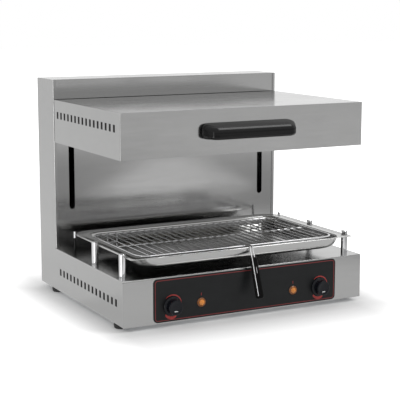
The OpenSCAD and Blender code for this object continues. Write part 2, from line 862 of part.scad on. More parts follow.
// Blocks that slide on the guide rods
module carriages() {
    color(dark_steel) for (s = [-1, 1])
        translate([s * rod_x, rod_y, carriage_z]) difference() {
            translate([-carriage_w / 2, -carriage_d / 2, 0]) cube([carriage_w, carriage_d, carriage_h]);
            translate([0, 0, -1]) cylinder(d = bush_d, h = carriage_h + 2);
        }
}

// Two flanged bronze bushes in each carriage
module carriage_bushes() {
    bush_len = 24;
    color(brass) for (s = [-1, 1], end = [0, 1])
        translate([s * rod_x, rod_y, carriage_z + end * carriage_h]) mirror([0, 0, end])
            difference() {
                union() {
                    cylinder(d = bush_d, h = bush_len);
                    translate([0, 0, -2.5]) cylinder(d = bush_d + 8, h = 2.5);
                }
                translate([0, 0, -4]) cylinder(d = rod_d + 2 * fit_gap, h = bush_len + 8);
            }
}

// Channel between the carriages that keeps both sides level
module lift_crossbar() {
    bar_x = rod_x - carriage_w / 2;
    color(dark_steel) along_x(-bar_x, 2 * bar_x)
        translate([rod_y - crossbar_d / 2, crossbar_z]) difference() {
            square([crossbar_d, crossbar_h]);
            translate([crossbar_t, crossbar_t]) square([crossbar_d, crossbar_h - 2 * crossbar_t]);
        }
}

// ---------------------------------------------------------------- hood

// Folded box of the hood: top, front and vented sides, with a lip turned in below
module hood_shell() {
    hood_len = hood_back - hood_front;
    color(steel) difference() {
        translate([-half_w, hood_front, hood_z])
            linear_extrude(hood_h) round_rect_front(body_w, hood_len, fold_r);
        translate([-half_w + hood_t, hood_front + hood_t, hood_z + hood_t])
            linear_extrude(hood_h - 2 * hood_t)
                round_rect_front(body_w - 2 * hood_t, hood_len, fold_r - hood_t);
        translate([-half_w + hood_lip, hood_front + hood_lip, hood_z - 1])
            cube([body_w - 2 * hood_lip, hood_len, 4]);
        along_x(-half_w - 1, body_w + 2) vent_row(front_y, hood_z + hood_vent_z);
        handle_screw_places() rotate([90, 0, 0]) cylinder(d = 5.4, h = 20, center = true);
    }
}

// A rectangle whose two front corners are round
module round_rect_front(w, h, r) {
    translate([0, r]) square([w, h - r]);
    translate([r, 0]) square([w - 2 * r, r + eps]);
    for (x = [r, w - r])
        translate([x, r]) circle(r);
}

// Plate that closes the back of the hood and carries the arms
module hood_back_plate() {
    color(steel) difference() {
        translate([-half_w + hood_t, hood_back - back_plate_t, hood_z + hood_t])
            cube([body_w - 2 * hood_t, back_plate_t, hood_h - 2 * hood_t]);
        for (s = [-1, 1])
            translate([s * rod_x, 0, 0]) arm_bolt_places()
                rotate([90, 0, 0]) cylinder(d = 6.4, h = 20, center = true);
    }
}

// Bright tray over the heating tubes: sloped front and back, flat roof, closed ends
module reflector() {
    roof_front = liner_front + liner_wall;
    roof_back = liner_back - liner_wall;
    end_x = liner_x - 14;
    color(chrome) difference() {
        union() {
            along_x(-end_x, 2 * end_x)
                polygon([
                    [liner_front, liner_seat], [liner_front + 12, liner_seat],
                    [roof_front + liner_t, liner_roof - liner_t], [roof_back - liner_t, liner_roof - liner_t],
                    [liner_back - 12, liner_seat], [liner_back, liner_seat],
                    [liner_back, liner_seat + liner_t], [liner_back - 12 + liner_t, liner_seat + liner_t],
                    [roof_back, liner_roof], [roof_front, liner_roof],
                    [liner_front + 12 - liner_t, liner_seat + liner_t], [liner_front, liner_seat + liner_t]
                ]);
            for (s = [0, 1]) mirror([s, 0, 0]) {
                along_x(end_x, liner_t)
                    polygon([
                        [liner_front + 12, liner_seat], [liner_back - 12, liner_seat],
                        [roof_back, liner_roof], [roof_front, liner_roof]
                    ]);
                translate([end_x, liner_front + 12, liner_seat])
                    cube([12, liner_back - liner_front - 24, liner_t]);
            }
        }
        for (s = [-1, 1], end = [-1, 1])
            translate([s * tube_mid_x + end * tube_span / 2, tube_y1, hood_z + tube_z])
                rotate([-90, 0, 0]) cylinder(d = tube_d + 1, h = 80);
    }
}

// Mineral wool on the reflector's roof
module insulation() {
    color(wool) translate([-liner_x + 30, liner_front + liner_wall + 2, liner_roof])
        cube([2 * (liner_x - 30), liner_back - liner_front - 2 * liner_wall - 4, hood_h - liner_h - 20]);
}

// One tube bent to and fro, with both ends led out through the reflector's back
module heating_element(s) {
    bend_r = tube_pitch / 2;
    bend_entry = 1.5;
    y_near = tube_y0 + bend_r;
    y_far = tube_y1 - bend_r;
    exit_y = liner_back + 6;
    color(dark_steel) translate([s * tube_mid_x - tube_span / 2, 0, hood_z + tube_z]) {
        for (i = [0 : tube_runs - 1]) {
            last = i == 0 || i == tube_runs - 1;
            translate([i * tube_pitch, y_near, 0])
                rotate([-90, 0, 0]) cylinder(d = tube_d, h = (last ? exit_y : y_far) - y_near);
        }
        for (i = [0 : tube_runs - 2])
            translate([(i + 0.5) * tube_pitch, i % 2 == 0 ? y_near : y_far, 0])
                rotate((i % 2 == 0 ? 180 : 0) - bend_entry)
                    rotate_extrude(angle = 180 + 2 * bend_entry)
                        translate([bend_r, 0]) circle(d = tube_d - bend_thin);
    }
}

module heating_element_left() {
    heating_element(-1);
}

module heating_element_right() {
    heating_element(1);
}

// Ceramic beads and pins on the tubes' ends
module element_terminals() {
    exit_y = liner_back + 6;
    for (s = [-1, 1], end = [-1, 1])
        translate([s * tube_mid_x + end * tube_span / 2, exit_y, hood_z + tube_z]) rotate([-90, 0, 0]) {
            color(ceramic) cylinder(d = tube_d + 2, h = 4);
            color(zinc) translate([0, 0, 4 - eps]) cylinder(d = 3, h = 5);
        }
}

// Straps that hang from the reflector's roof and carry the tubes
module element_straps() {
    strap_t = 1.5;
    strap_w = 10;
    strap_x = tube_span / 2 + tube_d;
    tube_low = hood_z + tube_z - tube_d / 2;
    color(zinc) for (s = [-1, 1], f = strap_rows)
        translate([s * tube_mid_x, tube_y0 + f * (tube_y1 - tube_y0) - strap_w / 2, 0]) {
            translate([-strap_x, 0, tube_low - strap_t]) cube([2 * strap_x, strap_w, strap_t]);
            for (e = [-1, 1])
                translate([e * (strap_x - strap_t / 2) - strap_t / 2, 0, tube_low - eps])
                    cube([strap_t, strap_w, strap_h + eps]);
        }
}

// ---------------------------------------------------------------- hood handle

module handle_screw_places() {
    for (s = [-1, 1])
        translate([s * (handle_w / 2 - 13), hood_front, hood_z + handle_z + handle_h / 2]) children();
}

// The handle from above: wide at the hood, drawn in and rounded at the front
function handle_plan(inset, r) = let (
        root = handle_w / 2 - inset,
        nose = handle_front_w / 2 - inset,
        tip = handle_reach - inset
    ) concat(
        [[-root, 0]], arc_points([-nose + r, -tip + r], r, 200, 270),
        arc_points([nose - r, -tip + r], r, 270, 340), [[root, 0]]
    );

// Moulded bridge handle: sloping top, round front, open below for the fingers
module hood_handle() {
    top_drop = 9;
    nose_r = 8;
    color(black) translate([0, hood_front, hood_z + handle_z]) difference() {
        intersection() {
            linear_extrude(handle_h) polygon(handle_plan(0, 16));
            along_x(-handle_w / 2, handle_w)
                polygon(concat(
                    [[0, 4], [0, handle_h]],
                    arc_points([-handle_reach + nose_r, handle_h - top_drop - nose_r], nose_r, 105, 180),
                    arc_points([-handle_reach + 4, 4], 4, 180, 270)
                ));
        }
        difference() {
            translate([0, 0, -1]) linear_extrude(handle_h - top_drop - 6) polygon(handle_plan(handle_wall, 9));
            for (s = [-1, 1])
                translate([s * (handle_w / 2 - 13), -12, 0])
                    translate([-13, 0, -2]) cube([26, 14, handle_h]);
        }
        for (s = [-1, 1])
            translate([s * (handle_w / 2 - 13), -10, handle_h / 2])
                rotate([-90, 0, 0]) cylinder(d = 5, h = 20);
    }
}

// Screws from inside the hood into the handle's ends
module handle_screws() {
    color(zinc) handle_screw_places() {
        translate([0, hood_t, 0]) rotate([90, 0, 0]) cylinder(d = 5 - 2 * fit_gap, h = hood_t + 9);
        translate([0, hood_t, 0]) rotate([-90, 0, 0]) cylinder(d = 9, h = 3, $fn = 24);
    }
}

// ---------------------------------------------------------------- drip pan

// The tub's solid form shrunk by a margin: leaning walls, a rounded lower edge, up to a given height
module tub(margin, top) {
    low = pan_bottom + margin;
    hull() {
        tub_slice(margin + pan_draft + 4.5, low, low + 0.7);
        tub_slice(margin + pan_draft + 1.6, low + 1.2, low + 1.9);
        tub_slice(margin + pan_draft - 0.5, low + 4, low + 4.7);
        tub_slice(margin, rim_z - pan_t - 0.5, top);
    }
}

module tub_slice(margin, low, high) {
    translate([-pan_x + margin, pan_front + margin, low])
        linear_extrude(high - low)
            round_rect(2 * (pan_x - margin), pan_len - pan_shelf - 2 * margin, max(5, pan_r - margin), $fn = 32);
}

// Outline of the runner flanges: square in front, round behind
module wings2d() {
    polygon(concat(
        [[-wing_x, pan_front], [wing_x, pan_front]],
        arc_points([wing_x - wing_r, pan_back - wing_r], wing_r, 0, 90, 12),
        arc_points([-wing_x + wing_r, pan_back - wing_r], wing_r, 90, 180, 12)
    ));
}

// Tub with leaning walls and a flat runner flange round its rear and sides
module drip_pan() {
    color(steel) difference() {
        union() {
            tub(0, rim_z);
            translate([0, 0, wing_z]) linear_extrude(pan_t) wings2d();
        }
        tub(pan_t, rim_z + pan_t);
    }
}

// ---------------------------------------------------------------- wire rack

// Chromed rack: round-cornered frame, bars from front to back, a middle stay and four legs
module wire_rack() {
    bend_entry = 1.5;
    frame_w = 2 * rack_x;
    frame_len = rack_back - rack_front;
    leg_low = pan_floor + run_gap;
    leg_len = 24;
    leg_x = rack_x - rack_corner - 14 - leg_len;
    color(chrome) {
        for (y = [rack_front, rack_back])
            translate([-rack_x + rack_corner, y, rack_frame_z])
                rotate([0, 90, 0]) cylinder(d = rack_frame_d, h = frame_w - 2 * rack_corner);
        for (s = [-1, 1])
            translate([s * rack_x, rack_front + rack_corner, rack_frame_z])
                rotate([-90, 0, 0]) cylinder(d = rack_frame_d, h = frame_len - 2 * rack_corner);
        for (sx = [0, 1], sy = [0, 1])
            translate([sx == 0 ? rack_x - rack_corner : -rack_x + rack_corner,
                       sy == 0 ? rack_back - rack_corner : rack_front + rack_corner, rack_frame_z])
                rotate(sx == 0 ? (sy == 0 ? 0 : 270) : (sy == 0 ? 90 : 180))
                    rotate(-bend_entry) rotate_extrude(angle = 90 + 2 * bend_entry)
                        translate([rack_corner, 0]) circle(d = rack_frame_d - bend_thin);
        for (i = [0 : rack_count - 1]) {
            x = (i - (rack_count - 1) / 2) * rack_pitch;
            short = max(0, abs(x) - (rack_x - rack_corner));
            trim = rack_corner - sqrt(max(0, rack_corner * rack_corner - short * short));
            translate([x, rack_front + trim, rack_bar_z])
                rotate([-90, 0, 0]) cylinder(d = rack_bar_d, h = frame_len - 2 * trim, $fn = 24);
        }
        translate([-rack_x, (rack_front + rack_back) / 2, rack_bar_z - rack_bar_d + 0.2])
            rotate([0, 90, 0]) cylinder(d = rack_frame_d - 1, h = frame_w);
        for (s = [0, 1], y = [rack_front, rack_back])
            mirror([s, 0, 0]) {
                for (k = [0, leg_len])
                    translate([leg_x + k, y, leg_low]) cylinder(d = rack_bar_d, h = rack_frame_z - leg_low);
                translate([leg_x, y, leg_low + rack_bar_d / 2])
                    rotate([0, 90, 0]) cylinder(d = rack_bar_d - bend_thin, h = leg_len);
            }
    }
}

// ---------------------------------------------------------------- lifter

// Two hooked wires over the rack's front wire and the pan's rim, down into the grip
module lifter_wires() {
    wire_end = lifter_bend + lifter_dir * (lifter_neck + 30);
    color(chrome) for (s = [-1, 1]) {
        x = lifter_x + s * lifter_gauge / 2;
        translate([x, rack_front, rack_frame_z])
            rotate([90, 0, 90]) rotate(-40) rotate_extrude(angle = 132)
                translate([hook_r, 0]) circle(d = lifter_wire_d - bend_thin, $fn = 24);
        bar([x, rack_front, lifter_top_z], [x, lifter_bend[0], lifter_top_z], lifter_wire_d);
        translate([x, lifter_bend[0], lifter_top_z]) sphere(d = lifter_wire_d, $fn = 24);
        bar([x, lifter_bend[0], lifter_top_z], [x, wire_end[0], wire_end[1]], lifter_wire_d);
    }
}

// Flat black grip, wider towards its rounded foot
module lifter_grip() {
    top = lifter_bend + lifter_dir * lifter_neck;
    top_w = grip_w - 5;
    color(black) translate([lifter_x, top[0], top[1]]) rotate([-lifter_lean, 0, 0])
        difference() {
            translate([0, grip_t / 2, 0]) rotate([90, 0, 0]) linear_extrude(grip_t)
                polygon(concat(
                    arc_points([top_w / 2 - 3, -3], 3, 0, 90),
                    arc_points([-top_w / 2 + 3, -3], 3, 90, 180),
                    arc_points([-grip_w / 2 + 6, -grip_len + 6], 6, 180, 270),
                    arc_points([grip_w / 2 - 6, -grip_len + 6], 6, 270, 360)
                ));
            for (s = [-1, 1])
                translate([s * lifter_gauge / 2, 0, -30])
                    cylinder(d = lifter_wire_d + 2 * fit_gap, h = 40, $fn = 24);
        }
}

side_panel_left();
side_panel_right();
base_front_panel();
base_deck();
bottom_plate();
column_front_panel();
column_top_cap();
back_cover();
back_cover_screws();
feet();
foot_screws();
control_panel();
pilot_lamp_bodies();
pilot_lamp_lenses();
energy_regulators();
regulator_shaft_left();
regulator_shaft_right();
knob_left();
knob_right();
terminal_block();
cable_gland();
gland_nut();
rack_posts();
stop_pins();
post_nuts();
guide_rods();
rod_brackets();
strut_cylinders();
hood_shell();
hood_back_plate();
reflector();
insulation();
heating_element_left();
heating_element_right();
element_straps();
element_terminals();
hood_handle();
handle_screws();
hood_arms();
arm_bolts();
carriages();
carriage_bushes();
lift_crossbar();
strut_rods();
drip_pan();
wire_rack();
lifter_wires();
lifter_grip();
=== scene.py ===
# Dresses the lift-hood salamander grill: camera, studio, finishes and the pieces modelled in mesh code.
import math

import bmesh
import bpy
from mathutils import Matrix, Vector


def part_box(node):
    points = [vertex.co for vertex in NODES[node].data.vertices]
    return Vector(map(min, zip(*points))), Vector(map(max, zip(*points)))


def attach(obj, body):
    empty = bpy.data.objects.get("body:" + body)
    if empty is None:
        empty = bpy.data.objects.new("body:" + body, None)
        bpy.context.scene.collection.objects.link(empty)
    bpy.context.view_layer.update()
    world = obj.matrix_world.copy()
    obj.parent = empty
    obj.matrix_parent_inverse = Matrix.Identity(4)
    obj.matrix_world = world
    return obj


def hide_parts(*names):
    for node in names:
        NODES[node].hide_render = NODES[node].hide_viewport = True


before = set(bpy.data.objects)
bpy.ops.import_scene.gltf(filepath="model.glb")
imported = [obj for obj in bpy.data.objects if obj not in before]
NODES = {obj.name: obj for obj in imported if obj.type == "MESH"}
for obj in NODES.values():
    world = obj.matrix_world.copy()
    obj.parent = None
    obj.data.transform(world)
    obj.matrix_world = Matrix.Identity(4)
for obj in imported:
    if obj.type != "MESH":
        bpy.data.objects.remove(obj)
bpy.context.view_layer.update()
TAU = 2 * math.pi
MM = 0.001

# ------------------------------------------------------------------ camera

SIDE_VIEW = math.radians(27.75)
LOOK_DOWN = math.radians(9.53)
EYE = Vector((-1.2730, -2.4242, 0.6854))
SENSOR = 36.0
FOCAL = 106.57


def add_camera():
    data = bpy.data.cameras.new("photo_view")
    data.sensor_width = SENSOR
    data.lens = FOCAL
    data.clip_end = 60
    cam = bpy.data.objects.new("photo_view", data)
    cam.location = EYE
    cam.rotation_euler = (math.pi / 2 - LOOK_DOWN, 0, -SIDE_VIEW)
    bpy.context.scene.collection.objects.link(cam)
    bpy.context.scene.camera = cam


add_camera()
bpy.context.scene.view_settings.view_transform = "Standard"

# ------------------------------------------------------------------ node helpers


class Tree:
    """A node tree with short calls for the nodes that the finishes use."""

    def __init__(self, tree):
        self.tree = tree
        self.nodes = tree.nodes
        self.links = tree.links

    def set(self, socket, value):
        if isinstance(value, bpy.types.NodeSocket):
            self.links.new(value, socket)
        elif value is not None:
            socket.default_value = value

    def add(self, kind, ins=None, **props):
        node = self.nodes.new(kind)
        for key, value in props.items():
            setattr(node, key, value)
        for key, value in (ins or {}).items():
            self.set(node.inputs[key], value)
        return node

    def math(self, op, a, b=0.0):
        node = self.add("ShaderNodeMath", {0: a, 1: b}, operation=op)
        return node.outputs[0]

    def spread(self, value, low, high, to_low=0.0, to_high=1.0):
        node = self.add("ShaderNodeMapRange", {"Value": value, "From Min": low, "From Max": high,
                                               "To Min": to_low, "To Max": to_high})
        return node.outputs[0]

    def mix(self, factor, a, b):
        node = self.add("ShaderNodeMix", {0: factor, 6: a, 7: b}, data_type="RGBA")
        return node.outputs[2]

    def noise(self, vector, scale, detail=3.0, rough=0.5):
        node = self.add("ShaderNodeTexNoise", {"Vector": vector, "Scale": scale, "Detail": detail,
                                               "Roughness": rough})
        return node.outputs["Fac"]

    def stretch(self, vector, scale):
        node = self.add("ShaderNodeMapping", {"Vector": vector, "Scale": scale})
        return node.outputs[0]

    def axes(self, vector):
        return self.add("ShaderNodeSeparateXYZ", {0: vector}).outputs

    def place(self):
        return self.add("ShaderNodeTexCoord").outputs["Object"]


def group(name, inputs, outputs):
    """An empty node group with the given sockets; each is (name, kind, default)."""
    tree = bpy.data.node_groups.new(name, "ShaderNodeTree")
    for label, kind, default in inputs:
        socket = tree.interface.new_socket(label, in_out="INPUT", socket_type="NodeSocket" + kind)
        if default is not None:
            socket.default_value = default
    for label, kind in outputs:
        tree.interface.new_socket(label, in_out="OUTPUT", socket_type="NodeSocket" + kind)
    t = Tree(tree)
    return tree, t, t.add("NodeGroupInput").outputs, t.add("NodeGroupOutput").inputs


def grain_group():
    """Fine lines of a brushed sheet: long noise along one direction, in two widths."""
    tree, t, i, o = group("brushed_grain",
                          [("Place", "Vector", None), ("Lines", "Vector", (1.0, 60.0, 60.0)),
                           ("Depth", "Float", 1.0)],
                          [("Tone", "Float"), ("Height", "Float")])
    run = t.add("ShaderNodeVectorMath", {0: i["Place"], 1: i["Lines"]}, operation="MULTIPLY").outputs[0]
    fine = t.noise(run, 22.0, 4.0, 0.65)
    broad = t.noise(run, 5.0, 2.0, 0.5)
    both = t.math("ADD", t.math("MULTIPLY", fine, 0.65), t.math("MULTIPLY", broad, 0.35))
    t.set(o["Tone"], both)
    t.set(o["Height"], t.math("MULTIPLY", both, i["Depth"]))
    return tree


def handling_group():
    """Faint cloudy marks left by wiping and handling, as a mask from 0 to 1."""
    tree, t, i, o = group("wiping_marks",
                          [("Place", "Vector", None), ("Size", "Float", 6.0)],
                          [("Mask", "Float")])
    wide = t.noise(i["Place"], i["Size"], 2.0, 0.5)
    streak = t.noise(t.stretch(i["Place"], (1.0, 3.0, 7.0)), 9.0, 3.0, 0.6)
    t.set(o["Mask"], t.spread(t.math("MULTIPLY", wide, streak), 0.15, 0.42))
    return tree


def mottle_group():
    """Small uneven patches of a plated, cast or moulded skin, from 0 to 1."""
    tree, t, i, o = group("skin_mottle",
                          [("Place", "Vector", None), ("Size", "Float", 40.0), ("Fineness", "Float", 3.0)],
                          [("Tone", "Float"), ("Height", "Float")])
    tone = t.add("ShaderNodeTexNoise", {"Vector": i["Place"], "Scale": i["Size"], "Detail": i["Fineness"],
                                        "Roughness": 0.6}).outputs["Fac"]
    t.set(o["Tone"], tone)
    t.set(o["Height"], t.spread(tone, 0.25, 0.75))
    return tree


def zone_group():
    """1 inside a box of the part, where shade is painted: insides of vents, an underside, a stem below its
    head.
    """
    tree, t, i, o = group("painted_shade_zone",
                          [("Place", "Vector", None), ("Middle", "Vector", (0.0, 0.0, 0.0)),
                           ("Half", "Vector", (1.0, 1.0, 1.0))],
                          [("Mask", "Float")])
    off = t.add("ShaderNodeVectorMath", {0: i["Place"], 1: i["Middle"]}, operation="SUBTRACT").outputs[0]
    off = t.add("ShaderNodeVectorMath", {0: off}, operation="ABSOLUTE").outputs[0]
    room = t.add("ShaderNodeVectorMath", {0: i["Half"], 1: off}, operation="SUBTRACT").outputs[0]
    parts = t.axes(room)
    least = t.math("MINIMUM", t.math("MINIMUM", parts[0], parts[1]), parts[2])
    t.set(o["Mask"], t.math("GREATER_THAN", least, 0.0))
    return tree


def slot_group():
    """1 over a row of upright vent slots and a rim round each, where shade is painted on a face seen from
    the side.
    """
    tree, t, i, o = group("slot_painted_shade",
                          [("Place", "Vector", None), ("First", "Float", 0.0), ("Pitch", "Float", 0.0214),
                           ("Half Width", "Float", 0.0052), ("Middle", "Float", 0.06),
                           ("Half Length", "Float", 0.008)],
                          [("Mask", "Float")])
    place = t.axes(i["Place"])
    along = t.math("DIVIDE", t.math("SUBTRACT", place[1], i["First"]), i["Pitch"])
    apart = t.math("ABSOLUTE", t.math("SUBTRACT", along, t.math("ROUND", along)))
    off = t.math("MULTIPLY", apart, i["Pitch"])
    inside = t.math("MULTIPLY", t.math("GREATER_THAN", along, -0.5),
                    t.math("LESS_THAN", along, SLOT_COUNT - 0.5))
    height = t.math("ABSOLUTE", t.math("SUBTRACT", place[2], i["Middle"]))
    tall = t.math("LESS_THAN", height, i["Half Length"])
    wide = t.math("LESS_THAN", off, i["Half Width"])
    t.set(o["Mask"], t.math("MULTIPLY", t.math("MULTIPLY", tall, wide), inside))
    return tree


SLOT_COUNT = 16
GRAIN = grain_group()
SHADE_ZONE = zone_group()
SLOTS = slot_group()
WIPING = handling_group()
MOTTLE = mottle_group()


def finish_material(name, color, metallic, rough):
    """A new material; returns its tree, its Principled shader and the object coordinates."""
    mat = bpy.data.materials.new(name)
    mat.use_nodes = True
    t = Tree(mat.node_tree)
    shader = mat.node_tree.nodes["Principled BSDF"]
    shader.inputs["Base Color"].default_value = (*color, 1.0)
    shader.inputs["Metallic"].default_value = metallic
    shader.inputs["Roughness"].default_value = rough
    return mat, t, shader, t.place()


def bump(t, shader, height, strength, distance=0.0004):
    node = t.add("ShaderNodeBump", {"Height": height, "Strength": strength, "Distance": distance})
    t.set(shader.inputs["Normal"], node.outputs[0])


def scaled(color, k):
    return tuple(min(1.0, c * k) for c in color)


def effect(t, tree, place, **values):
    """Places a shader node group and sets its inputs."""
    node = t.add("ShaderNodeGroup", {}, node_tree=tree)
    t.set(node.inputs["Place"], place)
    for key, value in values.items():
        t.set(node.inputs[key], value)
    return node


def paint_shade(t, shader, place, zones, color=(0.006, 0.006, 0.006)):
    """Paints shade: blackens the given boxes of a finish, each as (middle, half size)."""
    base = shader.inputs["Base Color"].links[0].from_socket
    for middle, half in zones:
        zone = effect(t, SHADE_ZONE, place, Middle=middle, Half=half).outputs["Mask"]
        base = t.mix(zone, base, (*color, 1))
    t.set(shader.inputs["Base Color"], base)


def brushed_metal(name, color, rough, lines, depth=0.18, marks=0.05, dark=(), slots=None):
    """Rolled sheet with a grain; dark lists boxes of painted shade, and slots (the first slot's place and
    the row's middle height) paints shade over and round the slot row.
    """
    mat, t, shader, place = finish_material(name, color, 1.0, rough)
    grain = effect(t, GRAIN, place, Lines=lines)
    wipe = effect(t, WIPING, place)
    tone = t.mix(grain.outputs["Tone"], (*scaled(color, 0.93), 1), (*scaled(color, 1.07), 1))
    tone = t.mix(t.math("MULTIPLY", wipe.outputs["Mask"], 0.5), tone, (*scaled(color, 0.95), 1))
    t.set(shader.inputs["Base Color"], tone)
    base = t.spread(grain.outputs["Tone"], 0.3, 0.7, rough - 0.03, rough + 0.04)
    t.set(shader.inputs["Roughness"], t.math("ADD", base, t.math("MULTIPLY", wipe.outputs["Mask"], marks)))
    bump(t, shader, grain.outputs["Height"], depth, 0.00012)
    paint_shade(t, shader, place, dark)
    # Painted shade over each slot and round it, on the outer faces only
    if slots:
        row = effect(t, SLOTS, place, First=slots[0], Middle=slots[1])
        far = t.math("GREATER_THAN", t.math("ABSOLUTE", t.axes(place)[0]), SIDE_FACES)
        base = shader.inputs["Base Color"].links[0].from_socket
        t.set(shader.inputs["Base Color"],
              t.mix(t.math("MULTIPLY", row.outputs["Mask"], far), base, (0.01, 0.01, 0.01, 1)))
    return mat


def plain_metal(name, color, rough, speck=40.0, spread=0.08, dark=()):
    mat, t, shader, place = finish_material(name, color, 1.0, rough)
    cloud = effect(t, MOTTLE, place, Size=speck, Fineness=4.0)
    t.set(shader.inputs["Base Color"],
          t.mix(cloud.outputs["Tone"], (*scaled(color, 0.88), 1), (*scaled(color, 1.1), 1)))
    t.set(shader.inputs["Roughness"],
          t.spread(cloud.outputs["Tone"], 0.3, 0.7, rough - spread / 2, rough + spread / 2))
    bump(t, shader, cloud.outputs["Height"], 0.05)
    # Painted shade in the given boxes
    paint_shade(t, shader, place, dark, (0.02, 0.02, 0.02))
    return mat


def spangled_zinc(name, color):
    mat, t, shader, place = finish_material(name, color, 1.0, 0.45)
    cell = t.add("ShaderNodeTexVoronoi", {"Vector": place, "Scale": 90.0})
    crystal = t.add("ShaderNodeSeparateColor", {0: cell.outputs["Color"]}).outputs[0]
    t.set(shader.inputs["Base Color"],
          t.mix(crystal, (*scaled(color, 0.8), 1), (*scaled(color, 1.15), 1)))
    t.set(shader.inputs["Roughness"], t.spread(crystal, 0, 1, 0.36, 0.52))
    bump(t, shader, cell.outputs["Distance"], 0.05)
    return mat


def moulded(name, color, rough, pebble=900.0, depth=0.12, shine=0.5):
    mat, t, shader, place = finish_material(name, color, 0.0, rough)
    skin = effect(t, MOTTLE, place, Size=pebble)
    hand = effect(t, WIPING, place, Size=30.0)
    t.set(shader.inputs["Base Color"],
          t.mix(hand.outputs["Mask"], (*color, 1), (*scaled(color, 1.3), 1)))
    t.set(shader.inputs["Roughness"],
          t.math("ADD", t.spread(skin.outputs["Tone"], 0.3, 0.7, rough - 0.03, rough + 0.04),
                 t.math("MULTIPLY", hand.outputs["Mask"], 0.05)))
    shader.inputs["Specular IOR Level"].default_value = shine
    bump(t, shader, skin.outputs["Height"], depth)
    return mat


SIDE_FACES = 0.29
STEEL = (0.44, 0.44, 0.437)
ALONG_X = (1.0, 60.0, 60.0)
ALONG_Z = (60.0, 60.0, 1.0)

# Outermost layer that stays bright where the inside of a slot is painted black as shade
SKIN = 0.1 * MM
side_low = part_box("side_panel_left")[0]
side_x = -side_low.x
hood_low, hood_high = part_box("hood_shell")
pan_low, pan_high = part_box("drip_pan")
pin_low, pin_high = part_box("stop_pins")
BASE_ROW = 58 * MM
HOOD_ROW = hood_low.z + 64 * MM
ROW_MIDDLE = -35 * MM
ROW_HALF = (175 * MM, 8.5 * MM)
# Painted shade as (middle, half size): insides of the slots, the pan's underside, the pins below their heads
BASE_SLOTS = ((0, ROW_MIDDLE, BASE_ROW), (side_x - SKIN, *ROW_HALF))
HOOD_SLOTS = ((0, ROW_MIDDLE, HOOD_ROW), (hood_high.x - SKIN, *ROW_HALF))
FIRST_SLOT = side_low.y + 34 * MM
PAN_UNDERSIDE = ((0, 0, pan_low.z), (0.4, 0.4, 0.0006))
PIN_HEAD = 0.0148
PIN_STEMS = ((0, pin_low.y, pin_low.z), (0.4, 0.02, pin_high.z - pin_low.z - PIN_HEAD))

FINISH = {
    "sheet": brushed_metal("brushed_sheet", STEEL, 0.16, ALONG_X),
    "column": brushed_metal("brushed_column", STEEL, 0.1, ALONG_X, 0.08, 0.05),
    # Hood and sides: painted shade inside their slots and round them
    "hood": brushed_metal("brushed_hood", STEEL, 0.15, ALONG_X, 0.18, 0.05, [HOOD_SLOTS],
                          (FIRST_SLOT, HOOD_ROW)),
    "side": brushed_metal("brushed_sides", STEEL, 0.17, ALONG_Z, 0.18, 0.05, [BASE_SLOTS],
                          (FIRST_SLOT, BASE_ROW)),
    "deck": brushed_metal("brushed_deck", STEEL, 0.17, ALONG_X),
    # Painted shade on the pan's underside
    "pan": brushed_metal("drawn_pan", (0.5, 0.5, 0.495), 0.15, ALONG_X, 0.1, 0.08, [PAN_UNDERSIDE]),
    # Painted shade on the pins' stems below their heads
    "pin": plain_metal("chrome_pins_painted_shade", (0.74, 0.74, 0.75), 0.1, 30.0, 0.04, [PIN_STEMS]),
    "chrome": plain_metal("bright_chrome", (0.74, 0.74, 0.75), 0.08, 30.0, 0.04),
    "zinc": plain_metal("bright_zinc", (0.6, 0.6, 0.58), 0.3),
    "galvanised": spangled_zinc("spangled_zinc", (0.5, 0.51, 0.52)),
    "alloy": plain_metal("milled_alloy", (0.55, 0.56, 0.57), 0.38),
    "bronze": plain_metal("turned_bronze", (0.5, 0.3, 0.12), 0.32),
    "sheath": plain_metal("heated_sheath", (0.16, 0.14, 0.13), 0.5, 60.0),
    "bright_tray": plain_metal("heat_tinted_tray", (0.36, 0.35, 0.32), 0.3, 8.0, 0.12),
    "enamel": moulded("satin_black_panel", (0.0095, 0.0102, 0.0108), 0.33, 1200.0, 0.02, 0.22),
    "plastic": moulded("black_knob_moulding", (0.0045, 0.0052, 0.008), 0.24, 900.0, 0.03, 0.25),
    "handle": moulded("black_handle_moulding", (0.003, 0.003, 0.003), 0.13, 700.0, 0.01, 0.25),
    "grip": moulded("black_grip_moulding", (0.002, 0.002, 0.002), 0.3, 700.0, 0.01, 0.08),
    "rubber": moulded("foot_rubber", (0.018, 0.018, 0.018), 0.7, 700.0, 0.2),
    "ceramic": moulded("glazed_ceramic", (0.72, 0.7, 0.64), 0.35, 300.0, 0.05),
    # Black sheets behind the vents, which stand in for shade
    "shade_sheet": moulded("painted_shade_black", (0.004, 0.004, 0.004), 0.95, 500.0, 0.4, 0.1),
    "wool": moulded("mineral_wool", (0.55, 0.5, 0.38), 0.95, 260.0, 1.0),
    "red": moulded("red_print", (0.36, 0.03, 0.026), 0.45, 1200.0, 0.02),
    "red_line": moulded("red_border", (0.17, 0.014, 0.015), 0.4, 1200.0, 0.02),
    "white": moulded("white_print", (0.75, 0.75, 0.75), 0.5, 1200.0, 0.02),
    "lamp": moulded("lamp_bezel", (0.2, 0.07, 0.018), 0.25, 900.0, 0.04),
    "amber": moulded("amber_lens", (0.62, 0.21, 0.025), 0.15, 400.0, 0.03, 0.7),
}

